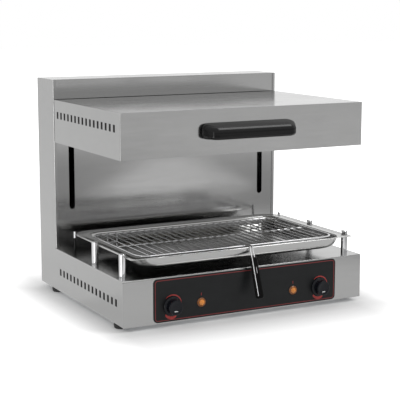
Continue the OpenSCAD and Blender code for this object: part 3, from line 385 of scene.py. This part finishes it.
NODE_FINISH = {
    "column": "column_front_panel",
    "sheet": "base_front_panel column_top_cap back_cover hood_back_plate",
    "hood": "hood_shell",
    "side": "side_panel_left side_panel_right",
    "deck": "base_deck",
    "pan": "drip_pan",
    "pin": "stop_pins",
    "chrome": "rack_posts guide_rods strut_rods wire_rack lifter_wires",
    "zinc": "back_cover_screws foot_screws post_nuts arm_bolts handle_screws "
            "regulator_shaft_left regulator_shaft_right",
    "galvanised": "bottom_plate rod_brackets lift_crossbar element_straps energy_regulators hood_arms",
    "alloy": "carriages",
    "bronze": "carriage_bushes",
    "sheath": "heating_element_left heating_element_right",
    "bright_tray": "reflector",
    "enamel": "control_panel strut_cylinders",
    "plastic": "knob_left knob_right",
    "handle": "hood_handle lifter_grip",
    "rubber": "feet gland_nut cable_gland",
    "ceramic": "terminal_block element_terminals",
    "wool": "insulation",
    "lamp": "pilot_lamp_bodies",
    "amber": "pilot_lamp_lenses",
}


def paint(obj, finish):
    obj.data.materials.clear()
    obj.data.materials.append(FINISH[finish])


def soften(obj, width):
    """Rounds the hard edges of a carried-over solid a little."""
    flat = obj.modifiers.new("merge_flats", "DECIMATE")
    flat.decimate_type = "DISSOLVE"
    flat.angle_limit = math.radians(1.0)
    edge = obj.modifiers.new("edge_radius", "BEVEL")
    edge.width = width
    edge.segments = 2
    edge.limit_method = "ANGLE"
    edge.angle_limit = math.radians(35.0)
    edge.harden_normals = True


for finish, names in NODE_FINISH.items():
    for name in names.split():
        paint(NODES[name], finish)

# ------------------------------------------------------------------ mesh helpers


def add_piece(name, verts, faces, body, finish, nodes=(), smooth=40.0):
    """A mesh that rides on a body, takes a finish and may stand for CAD nodes."""
    mesh = bpy.data.meshes.new(name)
    mesh.from_pydata([tuple(v) for v in verts], [], faces)
    mesh.validate()
    bm = bmesh.new()
    bm.from_mesh(mesh)
    bmesh.ops.recalc_face_normals(bm, faces=bm.faces)
    bm.to_mesh(mesh)
    bm.free()
    obj = bpy.data.objects.new(name, mesh)
    bpy.context.scene.collection.objects.link(obj)
    paint(obj, finish)
    mesh.polygons.foreach_set("use_smooth", [True] * len(mesh.polygons))
    mesh.set_sharp_from_angle(angle=math.radians(smooth))
    if nodes:
        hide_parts(*nodes)
    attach(obj, body)
    return obj


def join_rings(rings, caps, start):
    """Quads between rings of equally many points, with the ends filled where asked."""
    n = len(rings[0])
    faces = []
    for r in range(len(rings) - 1):
        a, b = start + r * n, start + (r + 1) * n
        for k in range(n):
            j = (k + 1) % n
            faces.append((a + k, a + j, b + j, b + k))
    if caps[0]:
        faces.append(tuple(start + k for k in reversed(range(n))))
    if caps[1]:
        last = start + (len(rings) - 1) * n
        faces.append(tuple(last + k for k in range(n)))
    return faces


class Shape:
    """Vertices and faces gathered from several forms."""

    def __init__(self):
        self.verts = []
        self.faces = []

    def loft(self, rings, caps=(True, True)):
        start = len(self.verts)
        for ring in rings:
            self.verts.extend(Vector(p) for p in ring)
        self.faces.extend(join_rings(rings, caps, start))
        return self

    def tube(self, path, radius, sides, loop=False):
        return self.loft(tube_rings(path, radius, sides, loop), (not loop, not loop))

    def lathe(self, profile, origin, steps, wave):
        return self.loft(lathe_rings(profile, origin, steps, wave))


def tube_rings(path, radius, sides, loop):
    """Rings of a round wire along a path; each keeps the last one's turn, so that it doesn't twist."""
    points = [Vector(p) for p in path]
    count = len(points)
    rings = []
    side = None
    for k, p in enumerate(points):
        if loop:
            ahead, behind = points[(k + 1) % count], points[(k - 1) % count]
        else:
            ahead, behind = points[min(k + 1, count - 1)], points[max(k - 1, 0)]
        run = (ahead - behind).normalized()
        if side is None:
            side = run.orthogonal().normalized()
        side = (side - run * side.dot(run)).normalized()
        up = run.cross(side)
        rings.append([p + radius * (math.cos(TAU * s / sides) * side + math.sin(TAU * s / sides) * up)
                      for s in range(sides)])
    if loop:
        first = rings[0]
        turn = min(range(sides), key=lambda s: (rings[-1][0] - first[s]).length)
        rings.append([first[(s + turn) % sides] for s in range(sides)])
    return rings


def lathe_rings(profile, origin, steps, wave):
    """Rings of a form turned about the axis that points to the front; profile is (radius, height)."""
    origin = Vector(origin)
    u, v, w = Vector((1, 0, 0)), Vector((0, 0, 1)), Vector((0, -1, 0))
    rings = []
    for radius, height in profile:
        ring = []
        for s in range(steps):
            a = TAU * s / steps
            r = radius + wave(a, radius, height)
            ring.append(origin + r * (math.cos(a) * u + math.sin(a) * v) + height * w)
        rings.append(ring)
    return rings


def corner(cx, cy, r, a0, a1, n):
    """Points of an arc from angle a0 to a1, in degrees."""
    return [(cx + r * math.cos(math.radians(a0 + (a1 - a0) * k / n)),
             cy + r * math.sin(math.radians(a0 + (a1 - a0) * k / n))) for k in range(n + 1)]


def round_rect(x0, x1, y0, y1, radii, n=8, mids=0):
    """Outline with round corners, anticlockwise from the low-x, low-y corner; radii in that order."""
    ra, rb, rc, rd = radii if isinstance(radii, (tuple, list)) else (radii,) * 4
    parts = [corner(x0 + ra, y0 + ra, ra, 180, 270, n), corner(x1 - rb, y0 + rb, rb, 270, 360, n),
             corner(x1 - rc, y1 - rc, rc, 0, 90, n), corner(x0 + rd, y1 - rd, rd, 90, 180, n)]
    out = []
    for k, part in enumerate(parts):
        out.extend(part)
        a, b = part[-1], parts[(k + 1) % 4][0]
        for m in range(1, mids + 1):
            f = m / (mids + 1)
            out.append((a[0] + (b[0] - a[0]) * f, a[1] + (b[1] - a[1]) * f))
    return out


# ------------------------------------------------------------------ drip pan

PAN_SHEET = 1.2 * MM
PAN_WING = 26 * MM
PAN_SHELF = 29 * MM
PAN_CORNER = 32 * MM
FLANGE_CORNER = 51 * MM
tub_x = pan_high.x - PAN_WING
tub_y0, tub_y1 = pan_low.y, pan_high.y - PAN_SHELF
rim_z = pan_high.z


def pan_ring(inset, z, r):
    return [(x, y, z) for x, y in
            round_rect(-tub_x + inset, tub_x - inset, tub_y0 + inset, tub_y1 - inset, r, 10, 6)]


def add_pan():
    """One pressed sheet: a flange round-cornered at the rear, leaning walls, a rounded foot, a floor."""
    edge = [(x, y, rim_z) for x, y in
            round_rect(pan_low.x, pan_high.x, tub_y0, pan_high.y,
                       (2 * MM, 2 * MM, FLANGE_CORNER, FLANGE_CORNER), 10, 6)]
    # (inset, drop) of the wall's profile in millimetres
    steps = [(0.2, 0.0), (0.8, -0.3), (1.2, -1.0), (1.5, -2.0), (2.2, -5.0), (3.3, -9.5), (4.8, -14.0),
             (6.4, -17.3), (8.6, -20.0), (11.8, -22.4), (16.0, -24.0), (21.0, -24.7), (40.0, -24.8),
             (90.0, -24.3)]
    rings = [edge] + [pan_ring(i * MM, rim_z + z * MM, max(8 * MM, PAN_CORNER + 0.4 * min(i, 12) * MM))
                      for i, z in steps]
    shape = Shape().loft(rings, (False, True))
    pan = add_piece("drip_pan_pressing", shape.verts, shape.faces, "pan", "pan",
                    ["drip_pan"], 50)
    thick = pan.modifiers.new("sheet", "SOLIDIFY")
    thick.thickness = PAN_SHEET
    thick.offset = -1.0


add_pan()

# ------------------------------------------------------------------ wire rack

FRAME_WIRE = 5 * MM
BAR_WIRE = 3.2 * MM
BAR_PITCH = 18.5 * MM
RACK_CORNER = 27.8 * MM
STAY_WIRE = 4 * MM
LEG_LENGTH = 24 * MM
LEG_BEND = 3 * MM
LEG_TO_CORNER = 14 * MM
BAR_RISE = 0.5 * MM
WELD_SINK = 0.2 * MM
rack_low, rack_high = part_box("wire_rack")
rack_x = rack_high.x - FRAME_WIRE / 2
rack_y0, rack_y1 = rack_low.y + FRAME_WIRE / 2, rack_high.y - FRAME_WIRE / 2
frame_z = rack_high.z - FRAME_WIRE / 2


def add_rack():
    """A frame wire, bars from front to rear, a stay across them and four low loops as legs."""
    s = Shape()
    ring = round_rect(-rack_x, rack_x, rack_y0, rack_y1, RACK_CORNER, 10, 3)
    s.tube([(x, y, frame_z) for x, y in ring], FRAME_WIRE / 2, 14, loop=True)
    count = int((2 * rack_x - BAR_PITCH) / BAR_PITCH)
    bar_z = frame_z + BAR_RISE
    for i in range(count):
        x = (i - (count - 1) / 2) * BAR_PITCH
        over = max(0.0, abs(x) - (rack_x - RACK_CORNER))
        trim = RACK_CORNER - math.sqrt(RACK_CORNER ** 2 - over ** 2)
        s.tube([(x, rack_y0 + trim, bar_z), (x, (rack_y0 + rack_y1) / 2, bar_z),
                (x, rack_y1 - trim, bar_z)], BAR_WIRE / 2, 10)
    mid_y = (rack_y0 + rack_y1) / 2
    stay_z = bar_z - BAR_WIRE + WELD_SINK
    s.tube([(-rack_x, mid_y, stay_z), (0, mid_y, stay_z), (rack_x, mid_y, stay_z)], STAY_WIRE / 2, 12)
    leg, bend = LEG_LENGTH, LEG_BEND
    low = rack_low.z + BAR_WIRE / 2
    for side in (-1, 1):
        for y in (rack_y0, rack_y1):
            x = rack_x - RACK_CORNER - LEG_TO_CORNER - leg
            path = [(x, frame_z), (x, low + bend)]
            path += [(x + bend - bend * math.cos(a), low + bend - bend * math.sin(a))
                     for a in (0.5, 1.05, math.pi / 2)]
            path += [(x + leg - bend + bend * math.sin(a), low + bend - bend * math.cos(a))
                     for a in (0, 0.5, 1.05)]
            path += [(x + leg, low + bend), (x + leg, frame_z)]
            s.tube([(side * px, y, pz) for px, pz in path], BAR_WIRE / 2, 10)
    add_piece("wire_rack_welded", s.verts, s.faces, "rack", "chrome", ["wire_rack"], 60)


add_rack()

# ------------------------------------------------------------------ lifter

LIFTER_WIRE = 3 * MM
LIFTER_PLAY = 0.3 * MM
LIFTER_LEAN = math.radians(20)
# Distances down the lifter from its bend, in millimetres
GRIP_START = 24
CHANNEL_FROM, CHANNEL_TO = 29, 106
FLARE_LENGTH = 90
# The grip's width at its top, how much it gains, half its thickness and its channel's depth, likewise
GRIP_WIDTH, GRIP_FLARE, GRIP_HALF_THICK, CHANNEL_DEPTH = 17, 3, 4, 1.1
lift_low, lift_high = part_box("lifter_wires")
lifter_x = (lift_low.x + lift_high.x) / 2
gauge = lift_high.x - lift_low.x - LIFTER_WIRE
hook_r = FRAME_WIRE / 2 + LIFTER_PLAY + LIFTER_WIRE / 2
bend_y = pan_low.y - LIFTER_PLAY - LIFTER_WIRE / 2
run_z = frame_z + hook_r
lean = Vector((0, -math.sin(LIFTER_LEAN), -math.cos(LIFTER_LEAN)))


def add_lifter():
    """Two wires hooked over the rack's front wire, with a grip on their lower ends."""
    s = Shape()
    for side in (-1, 1):
        x = lifter_x + side * gauge / 2
        path = [(x, rack_y0 + hook_r * math.cos(math.radians(a)),
                 frame_z + hook_r * math.sin(math.radians(a))) for a in range(-40, 91, 13)]
        path.append((x, bend_y + 3 * MM, run_z))
        bend = Vector((x, bend_y, run_z))
        path += [bend + Vector((0, 1.0 * MM, -0.15 * MM)), bend + lean * 1.4 * MM, bend + lean * 4 * MM]
        path += [bend + lean * GRIP_START * MM, bend + lean * 50 * MM]
        s.tube(path, LIFTER_WIRE / 2, 12)
    add_piece("lifter_bent_wires", s.verts, s.faces, "lifter", "chrome", ["lifter_wires"], 60)
    # Grip: rounded flat bar, wider towards its foot, with a shallow channel down its face
    bend = Vector((lifter_x, bend_y, run_z))
    across = Vector((1, 0, 0))
    out = lean.cross(across).normalized()
    rings = []
    stations = [(GRIP_START, 0.55, 0.5), (24.6, 0.8, 0.78), (26, 0.94, 0.92), (CHANNEL_FROM, 1, 1),
                (50, 1, 1), (80, 1, 1), (CHANNEL_TO, 1, 1), (111, 0.97, 0.96), (114, 0.86, 0.82),
                (115.5, 0.66, 0.58), (116, 0.4, 0.3)]
    for down, kw, kt in stations:
        f = (down - GRIP_START) / FLARE_LENGTH
        half = (GRIP_WIDTH + GRIP_FLARE * f) / 2 * MM * kw
        thick = GRIP_HALF_THICK * MM * kt
        centre = bend + lean * down * MM
        ring = []
        for k in range(32):
            a = TAU * k / 32
            c, sn = math.cos(a), math.sin(a)
            px = half * math.copysign(abs(c) ** 0.72, c)
            py = thick * math.copysign(abs(sn) ** 0.85, sn)
            if sn > 0 and CHANNEL_FROM < down < CHANNEL_TO:
                py -= CHANNEL_DEPTH * MM * max(0.0, 1 - (px / (0.42 * half)) ** 2)
            ring.append(centre + across * px + out * py)
        rings.append(ring)
    g = Shape().loft(rings)
    add_piece("lifter_grip_moulding", g.verts, g.faces, "lifter", "grip",
              ["lifter_grip"], 60)
    # Bright ribs on the grip: a long one on the left, a short one in the channel
    for name, off, rise, r, first, last in (
            ("lifter_left_rib", -4.6 * MM, 3.1 * MM, 1.1 * MM, 24.5, 110),
            ("lifter_middle_rib", 2.0 * MM, 2.6 * MM, 0.8 * MM, 26, 60)):
        points = [bend + lean * d * MM + across * off + out * rise
                  for d in (first, (first + last) / 2, last)]
        rib = Shape().tube(points, r, 12)
        add_piece(name, rib.verts, rib.faces, "lifter", "chrome", (), 60)


add_lifter()

# ------------------------------------------------------------------ knobs and lamps


FLUTES = 20
FLUTE_DEPTH = 0.7 * MM
FACE_DISH = 1.0 * MM


def add_knob(node):
    """A fluted drum on a round base; returns the middle of its face and the face's depth."""
    low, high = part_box(node)
    cx, cz = (low.x + high.x) / 2, (low.z + high.z) / 2
    back, face = high.y, low.y
    r = (high.x - low.x) / 2
    deep = back - face

    def wave(a, radius, height):
        if not (5 * MM < height < deep - 0.6 * MM and radius > r - 6 * MM):
            return 0.0
        return -FLUTE_DEPTH * max(0.0, math.cos(FLUTES * a)) ** 2

    drum = r - 4 * MM
    profile = [(3.05 * MM, 0.0), (r - 0.6 * MM, 0.0), (r, 0.6 * MM), (r, 2.6 * MM), (r - 0.5 * MM, 3.4 * MM),
               (r - 1.6 * MM, 4.0 * MM), (drum + 0.8 * MM, 4.3 * MM), (drum + 0.1 * MM, 5.2 * MM),
               (drum, 7 * MM), (drum - 0.3 * MM, deep - 3 * MM), (drum - 0.6 * MM, deep - 1.6 * MM),
               (drum - 1.3 * MM, deep - 0.5 * MM), (drum - 2.4 * MM, deep), (drum - 4 * MM, deep - 0.3 * MM),
               (drum - 5 * MM, deep - 0.8 * MM), (4 * MM, deep - FACE_DISH), (0.4 * MM, deep - FACE_DISH)]
    s = Shape().lathe(profile, (cx, back, cz), 160, wave)
    add_piece(node + "_moulding", s.verts, s.faces, node, "plastic", [node], 40)
    return cx, cz, face


PRINT = 0.15 * MM


def flat_print(name, outline, y, body, finish):
    """A thin printed shape in the XZ plane whose back lies at y."""
    n = len(outline)
    verts = [(x, y, z) for x, z in outline] + [(x, y - PRINT, z) for x, z in outline]
    faces = [tuple(range(n)), tuple(range(2 * n - 1, n - 1, -1))]
    faces += [(k, (k + 1) % n, n + (k + 1) % n, n + k) for k in range(n)]
    add_piece(name, verts, faces, body, finish, (), 30)


SCALE_RADIUS = 22.5


def arc_band(cx, cz, swell, power, a0, a1, n):
    """Outline of a band round (cx, cz) that swells from nothing and back between two angles."""
    pts = []
    for k in range(n + 1):
        a = math.radians(a0 + (a1 - a0) * k / n)
        r = (SCALE_RADIUS + swell * math.sin(math.pi * (k / n)) ** power) * MM
        pts.append((cx + r * math.cos(a), cz + r * math.sin(a)))
    for k in range(n, -1, -1):
        a = math.radians(a0 + (a1 - a0) * k / n)
        pts.append((cx + SCALE_RADIUS * MM * math.cos(a), cz + SCALE_RADIUS * MM * math.sin(a)))
    return pts


def upright_box(x, half, low, high):
    return [(x - half, low), (x + half, low), (x + half, high), (x - half, high)]


panel_low, panel_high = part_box("control_panel")
panel_face = panel_low.y


def panel_outline(inset, radius):
    return round_rect(panel_low.x + inset, panel_high.x - inset,
                      panel_low.z + inset, panel_high.z - inset, radius, 8)


def add_panel_print():
    """The red line round the control panel."""
    inset, width = 3.0 * MM, 1.7 * MM
    outer = panel_outline(inset, 7 * MM)
    inner = panel_outline(inset + width, 5.2 * MM)
    thick = 0.12 * MM
    rings = [[(x, panel_face, z) for x, z in outer], [(x, panel_face - thick, z) for x, z in outer],
             [(x, panel_face - thick, z) for x, z in inner], [(x, panel_face, z) for x, z in inner]]
    s = Shape().loft(rings, (False, False))
    add_piece("panel_red_line", s.verts, s.faces, "cabinet", "red_line", (), 30)


add_panel_print()
for name in ("left", "right"):
    cx, cz, face = add_knob("knob_" + name)
    band = arc_band(cx, cz, 2.9, 0.6, 130, 14, 28)
    flat_print("scale_arc_" + name, band, panel_face, "cabinet", "red")
    foot = arc_band(cx, cz, 6.2, 0.4, 296, 226, 22)
    flat_print("scale_foot_" + name, foot, panel_face, "cabinet", "red")
    mark = upright_box(cx, 4 * MM, cz - 8.6 * MM, cz - 7 * MM)
    flat_print("knob_mark_" + name, mark, face + FACE_DISH, "knob_" + name, "white")

lamp_low, lamp_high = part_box("pilot_lamp_bodies")
lamp_z = (lamp_low.z + lamp_high.z) / 2
LAMP_RADIUS = 10 * MM
lamp_x = lamp_high.x - LAMP_RADIUS
TICK_FROM, TICK_TO = 15 * MM, 21 * MM


def lens_ridges(a, radius, height):
    return 0.25 * MM * math.cos(12 * a) if 0.5 * MM < height < 5.5 * MM else 0.0


def add_lamps():
    """The ridged domes of the two pilot lamps, and the tick printed over each."""
    profile = [(0.3 * MM, -0.2 * MM), (6.6 * MM, -0.2 * MM), (6.7 * MM, 2.2 * MM), (6.3 * MM, 3.6 * MM),
               (5.2 * MM, 4.9 * MM), (3.6 * MM, 5.9 * MM), (1.8 * MM, 6.4 * MM), (0.3 * MM, 6.5 * MM)]
    lens = Shape()
    for side, name in ((-1, "left"), (1, "right")):
        lens.lathe(profile, (side * lamp_x, panel_face, lamp_z), 72, lens_ridges)
        tick = upright_box(side * lamp_x, 0.5 * MM, lamp_z + TICK_FROM, lamp_z + TICK_TO)
        flat_print("lamp_tick_" + name, tick, panel_face, "cabinet", "red")
    add_piece("amber_domes", lens.verts, lens.faces, "cabinet", "amber", ["pilot_lamp_lenses"], 50)


add_lamps()

# ------------------------------------------------------------------ deck

DECK_EDGE = 0.6 * MM
front_low, front_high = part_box("base_front_panel")
column_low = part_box("column_front_panel")[0]


def add_deck():
    """The base's top sheet, flush with its rim, up to the column; the CAD's deck lies lower."""
    x, y0, y1 = side_x - DECK_EDGE, front_low.y + DECK_EDGE, column_low.y
    top = front_high.z + 0.3 * MM
    rounding = ((0.0, -0.8 * MM), (0.3 * MM, -0.5 * MM), (0.3 * MM, -0.25 * MM), (0.0, 0.0))
    rings = [[(-x - g, y0 - g, top + z), (x + g, y0 - g, top + z),
              (x + g, y1, top + z), (-x - g, y1, top + z)]
             for g, z in rounding]
    s = Shape().loft(rings)
    add_piece("deck_sheet", s.verts, s.faces, "cabinet", "deck", ["base_deck"], 30)


add_deck()

# ------------------------------------------------------------------ hood handle

HANDLE_NOSE = 98 * MM
HANDLE_DROP = 9 * MM
# The hollow under the handle: how far in from its root, nose and tip, and how deep
HOLLOW_ROOT, HOLLOW_NOSE, HOLLOW_TIP, HOLLOW_DEPTH = 31 * MM, 20 * MM, 10 * MM, 16 * MM
handle_low, handle_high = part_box("hood_handle")


def handle_plan(root, nose, tip, r, end_r, back=0.0):
    """Wedge seen from above with round corners: wide near the hood, narrower at the nose."""
    slope = math.degrees(math.atan2(tip, root - nose))
    turn = math.tan(math.radians(slope / 2)) * r
    nose_bend = corner(nose - turn, -tip + r, r, 270, 270 + slope, 12)
    gap = end_r / math.tan(math.radians(slope / 2))
    root_bend = corner(root - gap, -end_r, end_r, 270 + slope, 450, 8)
    right = nose_bend + [(x, y - back) for x, y in root_bend]
    return [(-x, y) for x, y in reversed(right)] + right


def add_handle():
    """The bridge handle: a wedge with a sloping top, rounded edges and a hollow under it for the fingers."""
    root, tip = handle_high.x, handle_high.y - handle_low.y
    tall = handle_high.z - handle_low.z
    low_r, top_r = 8 * MM, 11 * MM

    def ring(inset, level, from_top):
        plan = handle_plan(root + 4 * MM - inset, HANDLE_NOSE + 1 * MM - inset, tip - inset,
                           max(7 * MM, 18 * MM - 0.6 * inset), 9 * MM)
        return [(x, handle_high.y + y,
                 handle_low.z + (tall - HANDLE_DROP * min(1.0, -y / tip) - level if from_top else level))
                for x, y in plan]

    rings = [[(x, handle_high.y + y, handle_low.z + z) for x, y in
              handle_plan(root - HOLLOW_ROOT, HANDLE_NOSE - HOLLOW_NOSE, tip - HOLLOW_TIP - z * 0.1,
                          7 * MM, 4 * MM, 1 * MM)]
             for z in (HOLLOW_DEPTH, 0.0)]
    for k in range(6):
        a = math.pi / 2 * k / 5
        rings.append(ring(low_r * (1 - math.sin(a)), low_r * (1 - math.cos(a)), False))
    for k in range(9):
        a = math.pi / 2 * k / 8
        rings.append(ring(top_r * (1 - math.cos(a)), top_r * (1 - math.sin(a)), True))
    s = Shape().loft(rings)
    add_piece("hood_handle_moulding", s.verts, s.faces, "hood", "handle",
              ["hood_handle"], 60)


add_handle()

# ------------------------------------------------------------------ painted shade behind the vents


def add_shades():
    """Black strips of painted shade behind the side slots of the base and of the hood."""
    for body, name, half, y0, y1, z0, z1 in (
            ("cabinet", "base_vent_shade", side_x - 2 * MM, side_low.y + 20 * MM, side_low.y + 380 * MM,
             44 * MM, 88 * MM),
            ("hood", "hood_vent_shade", hood_high.x - 2 * MM, hood_low.y + 20 * MM, hood_high.y - 12 * MM,
             hood_low.z + 24 * MM, hood_high.z - 14 * MM)):
        s = Shape()
        for side in (-1, 1):
            x0, x1 = side * half, side * (half - 0.8 * MM)
            s.loft([[(x, y0, z0), (x, y1, z0), (x, y1, z1), (x, y0, z1)] for x in (x0, x1)])
        add_piece(name, s.verts, s.faces, body, "shade_sheet")


add_shades()

# ------------------------------------------------------------------ softened solids

EDGE_RADIUS = 0.5 * MM
for name in ("hood_shell", "base_front_panel", "side_panel_left", "side_panel_right", "column_front_panel",
             "column_top_cap", "back_cover", "control_panel", "rack_posts", "stop_pins"):
    soften(NODES[name], EDGE_RADIUS)

# ------------------------------------------------------------------ studio

WHITE = (1, 1, 1, 1)
AIR_LEVEL = 0.55
FLOOR_TONE = 0.86
MIRRORED_FLOOR = 0.44
FLOOR_HALF = 14
TABLE_STRENGTH, STRIP_STRENGTH, TOP_STRENGTH = 0.97, 3.0, 5.0
# The patch of floor where the shadow is kept: half width, front and rear
SHADOW_X, SHADOW_FRONT, SHADOW_REAR = 0.3, -0.23, 0.2
# Distances from that patch between which the floor turns white
FADE_FROM, FADE_TO = 0.02, 0.2


def add_flat(name, corners, mat):
    mesh = bpy.data.meshes.new(name)
    mesh.from_pydata(corners, [], [tuple(range(len(corners)))])
    obj = bpy.data.objects.new(name, mesh)
    bpy.context.scene.collection.objects.link(obj)
    mesh.materials.append(mat)
    return obj


def stage_material(name):
    mat = bpy.data.materials.new(name)
    mat.use_nodes = True
    t = Tree(mat.node_tree)
    t.nodes.clear()
    return mat, t, t.add("ShaderNodeOutputMaterial").inputs[0]


def plain_rays(t):
    """The light path's own rays: 1 for what the camera or glass sees, and 1 for what metal reflects."""
    path = t.add("ShaderNodeLightPath")
    return t.math("MAXIMUM", path.outputs["Is Camera Ray"], path.outputs["Is Transmission Ray"]), \
        path.outputs["Is Glossy Ray"]


def add_floor():
    """White paper seen by the camera, with the object's shadow left near it, and clear from below.

    Metal mirrors it pale close to the object and behind it, grey farther in front, and pale again far off.
    """
    mat, t, out = stage_material("studio_floor")
    direct, mirrored = plain_rays(t)
    place = t.add("ShaderNodeNewGeometry").outputs["Position"]
    away = t.add("ShaderNodeVectorMath", {0: place}, operation="LENGTH").outputs["Value"]
    side, depth = t.axes(place)[:2]
    tone = t.spread(mirrored, 0, 1, FLOOR_TONE, MIRRORED_FLOOR)
    grey = t.add("ShaderNodeCombineColor", {0: tone, 1: tone, 2: tone}).outputs[0]
    paper = t.add("ShaderNodeBsdfDiffuse", {"Color": grey})
    # What metal sees: the first line pales it to the rear and far off, the second close to the object
    pale = t.math("MAXIMUM", t.spread(depth, -0.25, 0.1, 0.04, 0.6), t.spread(away, 2.2, 2.9, 0.04, 0.5))
    pale = t.math("MAXIMUM", pale, t.spread(away, 0.75, 1.0, 0.5, 0.04))
    # What the camera sees: the shadow over and near its patch, then white; the flanks pale sooner
    beside = t.math("SUBTRACT", t.math("ABSOLUTE", side), SHADOW_X)
    beyond = t.math("MAXIMUM", beside, t.math("SUBTRACT", SHADOW_FRONT, depth))
    beyond = t.math("MAXIMUM", beyond, t.math("SUBTRACT", depth, SHADOW_REAR))
    flank = t.math("ADD", t.spread(side, 0.27, 0.4, 0.0, 0.4), t.spread(side, -0.4, -0.3, 0.5, 0.0))
    white = t.math("ADD", t.spread(beyond, FADE_FROM, FADE_TO, 0.03, 0.62), flank)
    lift = t.math("ADD", t.math("MULTIPLY", direct, white), t.math("MULTIPLY", mirrored, pale))
    glow = t.add("ShaderNodeEmission", {"Color": WHITE, "Strength": lift})
    sheet = t.add("ShaderNodeAddShader", {0: paper.outputs[0], 1: glow.outputs[0]}).outputs[0]
    below = t.add("ShaderNodeNewGeometry").outputs["Backfacing"]
    gone = t.add("ShaderNodeBsdfTransparent").outputs[0]
    t.set(out, t.add("ShaderNodeMixShader", {0: below, 1: sheet, 2: gone}).outputs[0])
    add_flat("studio_floor", [(x * FLOOR_HALF, y * FLOOR_HALF, 0)
                              for x, y in ((-1, -1), (1, -1), (1, 1), (-1, 1))], mat)


def add_card(name, corners, strength):
    """A lit patch that only shiny surfaces see."""
    mat, t, out = stage_material(name)
    t.set(out, t.add("ShaderNodeEmission", {"Color": WHITE, "Strength": strength}).outputs[0])
    patch = add_flat(name, corners, mat)
    patch.visible_camera = False
    patch.visible_diffuse = False
    patch.visible_shadow = False
    patch.visible_transmission = False


def add_air():
    """White to the camera; brighter with height and to the rear for shiny surfaces; plain to the rest."""
    world = bpy.data.worlds.new("studio_air")
    bpy.context.scene.world = world
    world.use_nodes = True
    w = Tree(world.node_tree)
    w.nodes.clear()
    direct, mirrored = plain_rays(w)
    way = w.axes(w.add("ShaderNodeTexCoord").outputs["Generated"])
    front = w.spread(way[2], 0.05, 0.4, 0.5, 0.85)
    seen = w.math("MAXIMUM", front, w.spread(way[1], -0.3, 0.5, 0.5, 1.0))
    strength = w.math("ADD", AIR_LEVEL, w.math("MULTIPLY", direct, 1.0 - AIR_LEVEL))
    strength = w.math("ADD", strength, w.math("MULTIPLY", mirrored, w.math("SUBTRACT", seen, AIR_LEVEL)))
    back = w.add("ShaderNodeBackground", {"Color": WHITE, "Strength": strength})
    w.set(w.add("ShaderNodeOutputWorld").inputs[0], back.outputs[0])


def add_lamp(name, place, aim, size, power):
    data = bpy.data.lights.new(name, "AREA")
    data.shape = "RECTANGLE"
    data.size, data.size_y = size
    data.energy = power
    obj = bpy.data.objects.new(name, data)
    obj.location = place
    obj.rotation_euler = (Vector(aim) - Vector(place)).to_track_quat("-Z", "Y").to_euler()
    obj.visible_glossy = False
    bpy.context.scene.collection.objects.link(obj)


add_floor()
# A pale patch in front of the object, which the column mirrors as a wedge
add_card("lit_table", [(0.204, -0.976, 0.002), (0.930, -1.936, 0.002), (1.109, -1.931, 0.002),
                       (0.953, -1.039, 0.002)], TABLE_STRENGTH)
add_card("left_strip", [(-0.50, -0.16, 0.002), (-0.38, -0.40, 0.002), (-2.5, -1.6, 0.002),
                        (-2.7, -1.2, 0.002)], STRIP_STRENGTH)
add_card("left_strip_stand", [(-2.7, -1.2, 0.0), (-2.5, -1.6, 0.0), (-2.5, -1.6, 1.6),
                              (-2.7, -1.2, 1.6)], STRIP_STRENGTH)
add_card("top_card", [(0.4, -1.1, 2.3), (1.6, -1.1, 2.3), (1.6, 0.1, 2.3), (0.4, 0.1, 2.3)], TOP_STRENGTH)
add_air()
AIM = (0, 0, 0.25)
add_lamp("soft_box_right", (2.4, -2.2, 2.6), AIM, (1.8, 1.8), 45)
add_lamp("soft_box_left", (-2.8, -1.0, 2.2), AIM, (1.6, 1.6), 18)
